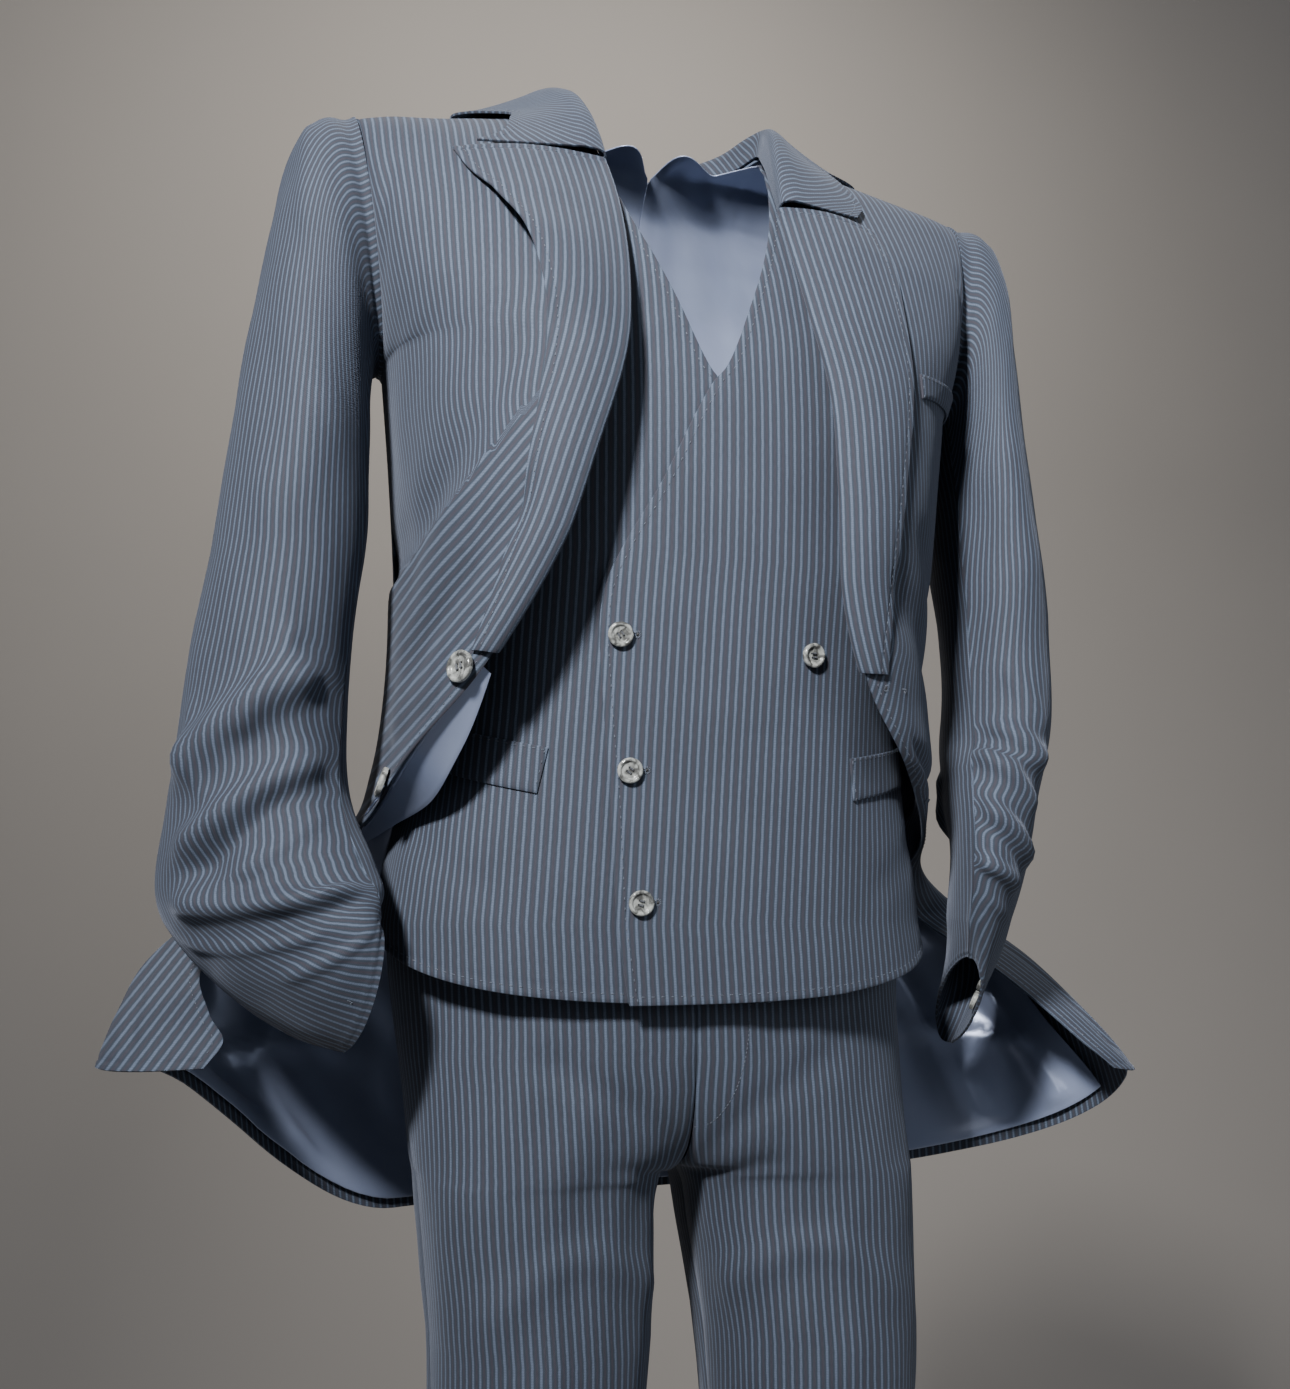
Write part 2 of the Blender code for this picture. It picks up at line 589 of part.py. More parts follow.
def wall(name, surface, s, t, finish, side=1, lift=0.0, thickness=CLOTH, seams=None, inset=0.0):
    """A cloth wall under a surface, at places s across and t down it, moved out by lift.

    seams gives an edge the direction from its seam into the piece, or None where it simply goes on
    across the surface. The wall keeps back from the seam, and is cut square to that direction. Above row
    inset, which is round an armhole, slopes at the edges are felt a little way in from them."""
    s, t = np.broadcast_arrays(*np.meshgrid(s, t)) if np.ndim(s) == 1 else np.broadcast_arrays(s, t)
    felt = np.where(t < inset, np.clip(s, 0.03, 0.97), s)
    across, down = slopes(surface, felt, t)
    normal = unit(np.cross(across, down)) * side
    outer = surface(s, t)
    for edge, direction in (seams or {}).items():
        where = edge_slice(edge)
        own = {"start": across, "end": -across, "top": down, "foot": -down}[edge][where]
        cut = own if direction is None else unit(np.broadcast_to(direction, own.shape).astype(float))
        outer[where] += cut * SEAM
        normal[where] = unit(normal[where] - np.sum(normal[where] * cut, axis=-1, keepdims=True) * cut)
    outer = outer + normal * np.broadcast_to(lift, s.shape)[..., None]
    grid_wall(name, outer, outer - normal * thickness, finish)
    return outer, normal


def on_panel(panel, s, t, counts):
    """Points and normals of a panel's own flat facets, at places s and t on its even grid."""
    points, normals = panel
    rows, columns = points.shape[:2]
    across = np.clip(s * (columns - 1), 0, columns - 1)
    down = np.clip(t / counts * (rows - 1), 0, rows - 1)
    i, j = np.minimum(down.astype(int), rows - 2), np.minimum(across.astype(int), columns - 2)
    k, m = (down - i)[..., None], (across - j)[..., None]

    def mixed(grid):
        upper = grid[i, j] * (1 - m) + grid[i, j + 1] * m
        return upper * (1 - k) + (grid[i + 1, j] * (1 - m) + grid[i + 1, j + 1] * m) * k

    return mixed(points), unit(mixed(normals))


def make_jacket_fronts():
    """The two jacket fronts, from the shoulder to the hem."""
    seams = {"top": (0, -1, 0), "end": (0, -1, 0)}
    panels = {}
    for side in (RIGHT, LEFT):
        rows = spread(0, front_rows(side)[0] - 1, FRONT_STEPS + 1)
        name = f"jacket_front_{SIDE_NAME[side]}"
        places = spread(0, 1, FRONT_ACROSS + 1)
        panels[side] = wall(name, jacket_front(side), places, rows, SUITING, -side, seams=seams, inset=5.2)
    return panels


def make_jacket_backs():
    """The two jacket backs, sewn down the middle and open at the side vents, and their linings."""
    for side in (RIGHT, LEFT):
        surface = jacket_back(side)
        fronts, backs = front_rows(side)
        below = spread(0, fronts - 1, FRONT_STEPS + 1)[BACK_FROM_STEP:] + backs - fronts
        rows = np.concatenate([BACK_TOP_STEPS, below])
        seams = {"top": (0, 1, 0), "start": (0, 1, 0), "end": (side, 0, 0)}
        name = SIDE_NAME[side]
        places = np.array(BACK_PLACES)
        wall(f"jacket_back_{name}", surface, places, rows, SUITING, -side, seams=seams, inset=6.2)
        places, rows = np.array(BACK_PLACES[1:]), rows[1:-1]
        lift, seams = -CLOTH - LAYER, {"end": (side, 0, 0)}
        wall(f"jacket_lining_{name}", surface, places, rows, SATIN, -side, lift, LINING, seams, 6.2)


def make_front_lining():
    """The strip of lining that bulges out past the right front's edge, below its first button."""
    surface, out = jacket_front(RIGHT), mirrored(np.array(LINING_OUT), RIGHT)

    def bulging(s, t):
        return surface(np.maximum(s, 0), t) - np.minimum(s, 0)[..., None] * out

    rows = np.arange(LINING_STEPS[0], LINING_STEPS[1] - 0.9, 0.5) * (front_rows(RIGHT)[0] - 1) / FRONT_STEPS
    bulge = spline([[b] for b in LINING_BULGE], np.arange(len(rows)) / 2)[:, 0]
    s = np.array([(-b, -b / 2, 0.0, *np.arange(1, LINING_ACROSS) / FRONT_ACROSS) for b in bulge])
    lift = -CLOTH - 5 * LAYER
    wall("jacket_lining_front", bulging, s, rows[:, None], SATIN, 1, lift, LINING)


def sleeve_rows():
    """The rows of a sleeve's wall and the seams' places round it, a column each."""
    rows = spread(0, SLEEVE_RINGS - 1, SLEEVE_STEPS + 1)
    share = (rows / rows[-1])[:, None]
    back = BACK_SEAM[0] + (BACK_SEAM[1] - BACK_SEAM[0]) * share
    front = FRONT_SEAM[0] + (FRONT_SEAM[1] - FRONT_SEAM[0]) * share
    return rows, back, front


def make_sleeves():
    """An upper and an under sleeve on each side, joined by two seams that twist to the cuff."""
    rows, back, front = sleeve_rows()
    panels = {}
    for side in (RIGHT, LEFT):
        surface = sleeve(side)
        seams = {"start": None, "end": None, "top": mirrored(ARMHOLE_OUT, side)}
        upper = back + (front - back) * spread(0, 1, UPPER_ACROSS + 1)
        under = front + (back + 1 - front) * spread(0, 1, 7)
        name = SIDE_NAME[side]
        panels[side] = wall(f"sleeve_upper_{name}", surface, upper, rows[:, None], SUITING, -side, seams=seams)
        wall(f"sleeve_under_{name}", surface, under, rows[:, None], SUITING, -side, seams=seams)
    return panels


def arc_places(surface, t, width, shares):
    """Places s on a surface at row t that lie shares of a width from its edge, measured along it."""
    s = spread(0, 1, 50)
    run = np.linalg.norm(np.diff(surface(s, np.full_like(s, t)), axis=0), axis=1)
    return np.interp(width * np.asarray(shares), np.concatenate([[0], np.cumsum(run)]), s)


def make_lapels():
    """The lapels: each wraps round the front edge and lies back over the front."""
    wraps = np.radians((180, 120, 60))
    shares = np.array((0.0, 0.16, 0.36, 0.58, 0.80, 1.0))
    for side in (RIGHT, LEFT):
        surface = jacket_front(side)
        table = np.array(LAPEL_ROWS[side])
        outer, inner = [], []
        for row, width, stand_off in spline(table, spread(0, len(table) - 1, 17)):
            s = arc_places(surface, row, width, shares)
            t = np.full_like(s, row)
            across, down = slopes(surface, s, t)
            normal = unit(np.cross(across, down)) * -side
            off = LAPEL_CLOTH + 2.5 * LAYER + LAPEL_FULLNESS * np.sin(np.pi * shares) * min(1, width / 0.05)
            off = off + stand_off * shares**1.5
            flat = surface(s, t) + normal * off[:, None]
            middle = surface(s[0], t[0]) - normal[0] * ROLL_CENTRE
            turned = np.cos(wraps)[:, None] * normal[0] - np.sin(wraps)[:, None] * across[0]
            outer.append(np.vstack([middle + turned * ROLL_RADIUS, flat]))
            inner.append(
                np.vstack([middle + turned * (ROLL_RADIUS - LAPEL_CLOTH), flat - normal * LAPEL_CLOTH])
            )
        grid_wall(f"lapel_{SIDE_NAME[side]}", np.array(outer), np.array(inner), SUITING)


def collar_sections():
    """Each section of the collar: its neck seam, the way out over the panel, its normal and its run."""
    sections = []
    for side in (RIGHT, LEFT):
        front, back = jacket_front(side), jacket_back(side)
        half = []
        end_t, end_width, edge_t = COLLAR_END[side]
        fronts = ((end_t, end_width, edge_t, 0.004),) + COLLAR_FRONT_ROWS
        scale = end_t / 2.1
        for seam_t, width, edge_t, stand in fronts:
            first = seam_t == end_t
            t = spread(seam_t, edge_t, 9) * (1 if first else scale)
            s = arc_places(front, t[0], width, spread(0, 1, 9))
            half.append((front, s, t, -side, stand))
        for seam_t, width, edge_t, stand in COLLAR_BACK_ROWS:
            t = spread(seam_t, edge_t, 9)
            run = width / max(np.linalg.norm(back(0.0, seam_t) - back(1.0, seam_t)), 1e-6)
            s = 1 - run * 1.15 * spread(0, 1, 9)
            half.append((back, s, t, -side, stand))
        sections.append(half)
    right, left = sections
    return right + left[-2::-1]


def make_collar():
    """The collar: a stand inside the neckline, a fold, and a fall that lies over the shoulders."""
    outer, inner = [], []
    for surface, s, t, side, stand in collar_sections():
        across, down = slopes(surface, s, t)
        normal = unit(np.cross(across, down)) * side
        run = spread(0, 1, 9)
        base = surface(s, t)
        out = unit(base[1] - base[0])
        off = LAPEL_CLOTH + COLLAR_CLEAR + stand * (1 - run) ** 1.6
        fall = base + normal * off[:, None]
        seam = base[0] - out * (LAPEL_CLOTH + 0.0014)
        rise = np.array((-0.002, 0.45 * stand, 0.92 * stand))
        standing = seam + normal[0] * rise[:, None]
        top = base[0] - out * 0.0005 + normal[0] * (stand + LAPEL_CLOTH + 0.0012)
        points = np.vstack([standing, top, fall[1:]])
        along = unit(np.gradient(points, axis=0))
        cross = unit(np.cross(normal[0], out))
        facing = unit(np.cross(along, cross))
        facing *= np.sign(np.sum(facing[0] * -out))
        outer.append(points)
        inner.append(points - facing * LAPEL_CLOTH)
    grid_wall("collar", np.array(outer), np.array(inner), SUITING)


def vest_lift(x):
    """How far the left front stands off the body to lap over the right front."""
    return OVERLAP_LIFT * (1 - smooth((x - OVERLAP_FROM) / (OVERLAP_TO - OVERLAP_FROM)))


def make_waistcoat():
    """The waistcoat: the left front laps over the right, and the back is of lining satin."""
    s, t = np.meshgrid(spread(0, 1, VEST_ACROSS + 1), spread(0, len(VEST_FRONT_ROWS) - 1, VEST_STEPS + 1))
    panels = {}
    for side in (RIGHT, LEFT):
        name = SIDE_NAME[side]
        surface = vest_surface(VEST_FRONT_ROWS, side, False)
        lift = vest_lift(side * surface(s, t)[..., 0]) * smooth((t - 2.2) / 1.3) if side == LEFT else 0.0
        seams = {"top": (0, -1, 0), "end": (0, -1, 0)}
        panels[side] = wall(f"waistcoat_front_{name}", surface, s, t, SUITING, -side, lift, seams=seams)
        surface = vest_surface(VEST_BACK_ROWS, side, True)
        seams = {"top": (0, 1, 0), "end": (0, 1, 0), "start": (side, 0, 0)}
        rows = np.array(VEST_BACK_STEPS)
        wall(f"waistcoat_back_{name}", surface, spread(0, 1, 8), rows, SATIN, side, seams=seams)
    return panels


def waist_surface(side):
    """The waistband: s from the middle of the front to the middle of the back, t in table rows."""

    def surface(s, t):
        s, t = np.broadcast_arrays(s, t)
        row = spline(LEG_ROWS, t)
        angle = np.pi * s
        depth = np.where(s < 0.5, row[..., 4], row[..., 5])
        points = [row[..., 2] * np.sin(angle), -depth * np.cos(angle), row[..., 0]]
        return mirrored(np.stack(points, axis=-1), side)

    return surface


def make_trousers():
    """Two fronts and two backs, joined at the middle, the sides and the inner legs, and a waistband."""
    rows = spread(WAIST_ROW, len(LEG_ROWS) - 1, 21)
    above = (rows < CROTCH_ROW)[:, None]
    for side in (RIGHT, LEFT):
        name = SIDE_NAME[side]
        for behind, part, facing in ((False, "front", -1.0), (True, "back", 1.0)):
            turn = side if behind else -side
            inner = np.where(above, (float(side), 0.0, 0.0), (0.0, facing, 0.0))
            seams = {"start": inner, "end": (0, facing, 0), "top": (0, 0, -1)}
            surface = leg_surface(side, behind)
            wall(f"trouser_{part}_{name}", surface, spread(0, 1, 7), rows, SUITING, turn, seams=seams)
        seams = {"start": (side, 0, 0), "end": (side, 0, 0), "foot": (0, 0, 1)}
        band = spread(0, WAIST_ROW, 3)
        wall(f"waistband_{name}", waist_surface(side), spread(0, 1, 13), band, SUITING, -side, seams=seams)


def make_button(name, place, normal, across, size, segments=12):
    """A turned button with a shallow dish, on a thread shank just clear of the cloth."""
    radius, thickness, shank = size
    up = unit(normal)
    right = unit(across - up * np.dot(across, up))
    ahead = np.cross(up, right)
    angle = 2 * np.pi * np.arange(segments) / segments
    ring = np.cos(angle)[:, None] * right + np.sin(angle)[:, None] * ahead
    rings = []
    for share, level in BUTTON_SHARES:
        height = LAYER + shank * min(level, 1) + thickness * max(level - 1, 0)
        rings.append(place + up * height + ring * radius * share)
    vertices = stance(np.vstack(rings))
    faces = [list(range(segments)), [len(vertices) - 1 - k for k in range(segments)]]
    for i in range(len(rings) - 1):
        for j in range(segments):
            k = (j + 1) % segments
            first, second = i * segments, (i + 1) * segments
            faces.append([first + j, first + k, second + k, second + j])
    return add_solid(name, vertices, faces, HORN)


def place_on(panel, s, t, counts):
    """A point of a panel's facets, its normal and the direction across it."""
    at, step = (np.array([s]), np.array([t])), np.array([0.01])
    points, normals = on_panel(panel, *at, counts)
    beyond, _ = on_panel(panel, at[0] + step, at[1], counts)
    return points[0], normals[0], (beyond - points)[0]


def make_buttons(fronts, sleeves, vests):
    """Two buttons on the right jacket front, four on each cuff, and four on the waistcoat."""
    surface, counts = jacket_front(RIGHT), front_rows(RIGHT)[0] - 1
    for number, (row, inset) in enumerate(JACKET_BUTTON_ROWS, 1):
        s = arc_places(surface, row, inset, [1.0])[0]
        make_button(f"jacket_button_{number}", *place_on(fronts[RIGHT], s, row, counts), JACKET_BUTTON)
    for side in (RIGHT, LEFT):
        for number, step in enumerate(CUFF_BUTTON_STEPS[side], 1):
            spot = place_on(sleeves[side], CUFF_BUTTON_ACROSS[side], step, SLEEVE_STEPS)
            make_button(f"cuff_button_{SIDE_NAME[side]}_{number}", *spot, CUFF_BUTTON, 10)
    for number, (s, row) in enumerate(VEST_BUTTONS, 1):
        spot = place_on(vests[LEFT], s, row, len(VEST_FRONT_ROWS) - 1)
        make_button(f"waistcoat_button_{number}", *spot, VEST_BUTTON)


def make_welt(name, panel, places, counts):
    """A pocket's welt: a strip that lies on a panel's own points, moved out."""
    s_from, s_to, t_from, t_to, rise = places
    s, t = np.meshgrid(spread(s_from, s_to, 7), spread(t_from, t_to, 4))
    t = t + rise * (s - s_from) / (s_to - s_from)
    points, normals = on_panel(panel, s, t, counts)
    inner = points + normals * 2.2 * LAYER
    grid_wall(name, inner + normals * LAPEL_CLOTH, inner, SUITING)


def make_pocket_welts(fronts, vests):
    """The breast pocket's welt on the left jacket front, and a welt on each waistcoat front."""
    make_welt("breast_pocket_welt", fronts[LEFT], BREAST_WELT, front_rows(LEFT)[0] - 1)
    for side in (RIGHT, LEFT):
        counts = len(VEST_FRONT_ROWS) - 1
        make_welt(f"waistcoat_welt_{SIDE_NAME[side]}", vests[side], VEST_WELT[side], counts)


def build():
    """Makes every piece of the suit."""
    for made in list(bpy.data.objects):
        bpy.data.objects.remove(made)
    fronts = make_jacket_fronts()
    make_jacket_backs()
    make_front_lining()
    sleeves = make_sleeves()
    make_lapels()
    make_collar()
    vests = make_waistcoat()
    make_trousers()
    make_buttons(fronts, sleeves, vests)
    make_pocket_welts(fronts, vests)


build()
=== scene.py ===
"""A three-piece suit as worn, hollow: its cloth, lining, sewing and buttons, over the part's solids.

Metres, +Z up, front towards -Y, the wearer's right at -X. Each cloth piece is a thin shell on the form of
its own solid, with finer folds. Stripes and weave follow the piece's UV map, which is in metres of cloth."""

import json
import logging
import math
from collections.abc import Callable, Sequence
from dataclasses import dataclass, field
from enum import Enum
from functools import cache

import bpy
import numpy as np
from mathutils import Matrix, Vector

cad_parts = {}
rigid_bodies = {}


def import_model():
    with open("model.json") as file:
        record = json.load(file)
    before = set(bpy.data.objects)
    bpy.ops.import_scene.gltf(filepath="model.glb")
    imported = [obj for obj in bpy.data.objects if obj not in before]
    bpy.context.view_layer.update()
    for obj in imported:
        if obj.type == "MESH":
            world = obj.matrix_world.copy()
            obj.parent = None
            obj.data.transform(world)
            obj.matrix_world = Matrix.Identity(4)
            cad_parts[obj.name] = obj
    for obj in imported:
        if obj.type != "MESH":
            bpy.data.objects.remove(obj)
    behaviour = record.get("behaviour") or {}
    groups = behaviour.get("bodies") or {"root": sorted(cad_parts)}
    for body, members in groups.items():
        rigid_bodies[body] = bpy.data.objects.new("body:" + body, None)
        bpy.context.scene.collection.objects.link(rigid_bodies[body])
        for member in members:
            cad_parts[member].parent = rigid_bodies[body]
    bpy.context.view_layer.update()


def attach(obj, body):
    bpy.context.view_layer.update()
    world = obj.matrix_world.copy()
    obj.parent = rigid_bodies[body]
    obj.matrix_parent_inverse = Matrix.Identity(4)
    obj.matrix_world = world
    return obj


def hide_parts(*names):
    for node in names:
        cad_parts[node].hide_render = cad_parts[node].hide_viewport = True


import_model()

LOG = logging.getLogger("three_piece_suit")
Array = np.ndarray
Surface = Callable[[Array, Array], Array]
Table = Sequence[Sequence[float]]

# The step across or down a surface by which its slopes are found.
FEEL = 0.01


class Side(Enum):
    """A side of the wearer, with its sign along X."""

    RIGHT = -1
    LEFT = 1

    @property
    def word(self) -> str:
        """The side's name in the names of pieces."""
        return self.name.lower()


# How the whole suit stands: shoulders lean, hips and legs shift sideways.
SHOULDER_LEAN = 0.070
STANCE_Z = (0.0, -0.35, -0.58, -0.85, -1.60)
STANCE_X = (0.0, 0.0, -0.012, 0.006, 0.006)

# The armhole is a flat oval that leans inwards to the armpit.
ARMHOLE_Y, ARMHOLE_Z = 0.005, -0.120
ARMHOLE_HALF_DEPTH, ARMHOLE_HALF_HEIGHT = 0.060, 0.090
ARMHOLE_X, ARMHOLE_SLOPE = 0.2155, 0.133

# Jacket fronts, a row for each level: x, y and z of the front edge, then of the flank that meets the
# armhole or the side seam. An angle in place of the flank is a place on the armhole.
FRONT_TOP = (
    (0.079, 0.000, 0.004, 0),
    (0.070, -0.045, -0.025, -30),
    (0.064, -0.080, -0.062, -60),
    (0.061, -0.122, -0.120, -90),
    (0.063, -0.155, -0.180, -130),
)
FRONT_ROWS = {
    Side.RIGHT: (
        (0.070, -0.175, -0.235, 180),
        (0.090, -0.184, -0.300, 0.196, 0.015, -0.285),
        (0.112, -0.181, -0.365, 0.190, 0.030, -0.360),
        (0.147, -0.163, -0.432, 0.190, 0.040, -0.430),
        (0.182, -0.125, -0.478, 0.195, 0.060, -0.480),
        (0.199, -0.055, -0.512, 0.206, 0.090, -0.515),
        (0.214, 0.035, -0.540, 0.250, 0.122, -0.548),
        (0.262, 0.085, -0.575, 0.308, 0.122, -0.580),
        (0.302, 0.035, -0.610, 0.343, 0.085, -0.610),
        (0.297, -0.028, -0.636, 0.358, 0.035, -0.640),
        (0.288, -0.050, -0.652, 0.365, 0.012, -0.658),
        (0.300, -0.056, -0.668, 0.369, 0.000, -0.671),
    ),
    Side.LEFT: (
        (0.072, -0.170, -0.240, 180),
        (0.073, -0.178, -0.305, 0.196, 0.015, -0.285),
        (0.076, -0.177, -0.370, 0.190, 0.030, -0.360),
        (0.096, -0.168, -0.430, 0.190, 0.040, -0.430),
        (0.134, -0.140, -0.478, 0.195, 0.060, -0.480),
        (0.190, -0.044, -0.521, 0.208, 0.090, -0.515),
        (0.205, 0.020, -0.550, 0.250, 0.122, -0.548),
        (0.245, 0.085, -0.580, 0.305, 0.122, -0.580),
        (0.276, 0.040, -0.612, 0.334, 0.085, -0.612),
        (0.300, -0.005, -0.645, 0.350, 0.040, -0.648),
        (0.322, -0.025, -0.672, 0.364, 0.015, -0.676),
        (0.342, -0.028, -0.690, 0.372, 0.002, -0.694),
    ),
}
# Jacket backs: angles on the armhole with x, y and z of the neckline and the spine, then y and z of the
# spine below the armpit.
BACK_TOP = (
    (0, 0.079, 0.000, 0.004),
    (25, 0.058, 0.045, 0.002),
    (50, 0.000, 0.074, -0.010),
    (80, 0.000, 0.098, -0.060),
    (110, 0.000, 0.115, -0.120),
    (145, 0.000, 0.122, -0.180),
    (180, 0.000, 0.121, -0.225),
)
SPINE_ROWS = (
    (0.112, -0.300),
    (0.101, -0.370),
    (0.098, -0.440),
    (0.108, -0.500),
    (0.121, -0.550),
    (0.132, -0.600),
    (0.141, -0.650),
    (0.148, -0.700),
    (0.154, -0.745),
    (0.158, -0.775),
    (0.160, -0.795),
)

# The back's hem drops towards the spine: from which row, over how many, and how steeply.
HEM_ROW, HEM_ROWS, HEM_STEEP = 8, 6, 0.75
# How much of the back's skirt turns in behind the front's at the hem: from which row, over how many, how
# far, over which share of the width, and where across it the turned hem drops.
HEM_TURN_ROW, HEM_TURN_ROWS, HEM_TURN_IN, HEM_TURN_WIDTH = 14, 2.5, 0.13, 0.22
HEM_DROP_FROM, HEM_DROP_WIDTH = 0.09, 0.50
HEM_TURN = {Side.RIGHT: 1.0, Side.LEFT: 0.0}

# Sleeves, a row for each ring below the armhole: x, y and z of its outer edge, then of its inner edge,
# its half depth and how far that turns outwards. The right forearm comes forward over the hip.
UPPER_ARM_ROWS = {
    Side.RIGHT: (
        (0.2530, 0.005, -0.037, 0.2100, 0.000, -0.2130, 0.066, 0.0),
        (0.2700, 0.003, -0.068, 0.2125, -0.006, -0.2240, 0.069, 0.0),
        (0.2860, -0.002, -0.150, 0.2135, -0.012, -0.2640, 0.067, 0.0),
        (0.3010, -0.005, -0.255, 0.2140, -0.020, -0.3300, 0.064, 0.0),
        (0.3140, -0.003, -0.350, 0.2200, -0.026, -0.4000, 0.062, 0.0),
        (0.3220, 0.003, -0.430, 0.2200, -0.038, -0.4500, 0.060, 0.1),
    ),
    Side.LEFT: (
        (0.2500, 0.003, -0.037, 0.2100, 0.000, -0.2130, 0.066, 0.0),
        (0.2610, -0.002, -0.068, 0.2115, -0.006, -0.2240, 0.067, 0.0),
        (0.2660, -0.011, -0.150, 0.2120, -0.018, -0.2640, 0.065, 0.0),
        (0.2740, -0.018, -0.255, 0.2120, -0.032, -0.3300, 0.062, 0.0),
        (0.2830, -0.020, -0.350, 0.2150, -0.042, -0.4000, 0.059, 0.0),
        (0.2820, -0.018, -0.430, 0.2140, -0.054, -0.4450, 0.057, 0.1),
    ),
}
FOREARM_ROWS = {
    Side.RIGHT: (
        (0.3240, 0.008, -0.505, 0.2170, -0.060, -0.5000, 0.056, 0.3),
        (0.3230, 0.008, -0.570, 0.2030, -0.094, -0.5420, 0.050, 0.5),
        (0.2880, -0.024, -0.618, 0.1950, -0.106, -0.5600, 0.044, 0.4),
        (0.2480, -0.054, -0.646, 0.1950, -0.108, -0.5720, 0.038, 0.0),
        (0.2160, -0.072, -0.657, 0.1960, -0.102, -0.5790, 0.034, -0.3),
    ),
    Side.LEFT: (
        (0.2740, -0.018, -0.500, 0.2050, -0.078, -0.4720, 0.050, 0.1),
        (0.2680, -0.014, -0.562, 0.2020, -0.096, -0.5180, 0.040, 0.1),
        (0.2560, -0.006, -0.606, 0.2060, -0.092, -0.5560, 0.035, 0.1),
        (0.2430, 0.002, -0.640, 0.2120, -0.078, -0.5840, 0.032, 0.0),
        (0.2270, 0.010, -0.672, 0.2190, -0.060, -0.6060, 0.030, 0.0),
    ),
}
# The two seams twist round the sleeve from the armhole to the cuff: shares of the way round.
BACK_SEAM, FRONT_SEAM = (-0.15, 0.03), (0.40, 0.49)
# Folds, a row for each: from s and t to s and t, its half width and its depth inwards. A surface's size
# is metres to a step of s and of t.
SLEEVE_SIZE = (0.36, 0.070)
SLEEVE_FOLDS = {
    Side.RIGHT: (
        (0.36, 5.6, 0.12, 6.9, 0.014, 0.013),
        (0.40, 6.6, 0.16, 7.6, 0.012, 0.011),
        (0.16, 8.0, 0.42, 8.9, 0.013, 0.012),
        (0.34, 7.0, 0.20, 7.9, 0.011, -0.007),
        (0.95, 6.4, 0.72, 7.4, 0.018, 0.008),
        (0.30, 3.4, 0.20, 4.6, 0.020, 0.005),
    ),
    Side.LEFT: (
        (0.40, 5.9, 0.22, 6.7, 0.012, 0.007),
        (0.44, 6.7, 0.24, 7.3, 0.012, 0.008),
        (0.42, 7.6, 0.22, 7.9, 0.011, 0.008),
        (0.44, 8.5, 0.26, 8.4, 0.010, 0.006),
        (0.95, 6.4, 0.72, 7.4, 0.018, 0.008),
        (0.30, 3.2, 0.22, 4.4, 0.020, 0.004),
    ),
}
FRONT_SIZE = (0.28, 0.065)
FRONT_FOLDS = {
    Side.RIGHT: ((0.10, 6.3, 0.75, 8.2, 0.018, 0.006), (0.20, 8.3, 0.80, 8.9, 0.014, 0.005)),
    Side.LEFT: ((0.15, 6.8, 0.70, 8.0, 0.018, 0.004), (0.10, 8.7, 0.60, 9.4, 0.012, 0.005)),
}
# The right front's swept fold, from x and z to x and z. The cloth rises below it and sinks above it, away
# from the front's edge and between two rows.
SWEPT_FOLD = ((0.111, -0.255), (0.225, -0.400))
SWEPT_RISE, SWEPT_RISE_ONSET, SWEPT_RISE_LENGTH = 0.0045, 0.006, 0.035
SWEPT_HOLLOW, SWEPT_HOLLOW_INSET, SWEPT_HOLLOW_HALF_WIDTH = 0.0035, 0.010, 0.012
SWEPT_EDGE, SWEPT_EDGE_FADE = 0.060, 0.040
SWEPT_ROWS, SWEPT_ROW_FADE = (4.0, 9.5), 1.5
SWEPT_STRIPES_ROW = 4.5
# The plumb line that the fronts' stripes keep beside, as a distance from the middle.
FRONT_PLUMB = 0.150

# Lapels, folded back over the fronts: the front's row, their width and how far the free edge stands off.
LAPEL_ROWS = {
    Side.RIGHT: (
        (2.10, 0.102, 0.0000),
        (2.60, 0.094, 0.0015),
        (3.10, 0.078, 0.0070),
        (3.70, 0.061, 0.0170),
        (4.40, 0.049, 0.0160),
        (5.10, 0.044, 0.0035),
        (6.00, 0.036, 0.0010),
        (7.00, 0.028, 0.0005),
        (7.85, 0.013, 0.0000),
    ),
    Side.LEFT: (
        (2.46, 0.068, 0.0000),
        (2.80, 0.072, 0.0005),
        (3.20, 0.075, 0.0010),
        (3.80, 0.071, 0.0020),
        (4.40, 0.066, 0.0030),
        (5.10, 0.059, 0.0030),
        (6.00, 0.047, 0.0020),
        (7.00, 0.034, 0.0010),
        (7.85, 0.015, 0.0000),
    ),
}
# How far a lapel swells off the front, and the width from which it does so in full.
LAPEL_FULLNESS, LAPEL_FULL_WIDTH = 0.004, 0.05
# The roll of a lapel round the front's edge: how far behind the front its centre lies, and its radius.
ROLL_CENTRE, ROLL_RADIUS = 0.0010, 0.0037
# The strip of front lining: the 24ths of the front's length that it covers, how far it bulges along
# them and how far it reaches in, both as shares of the front's width, and the way that it bulges.
LINING_STEPS = (12, 16)
LINING_BULGE = (0.025, 0.080, 0.100, 0.060, 0.020)
LINING_REACH = 0.25
LINING_OUT = (-0.218, 0.028, -0.171)
LINING_SAG, LINING_SAG_END = (0.0, 0.042, 0.012), 0.10

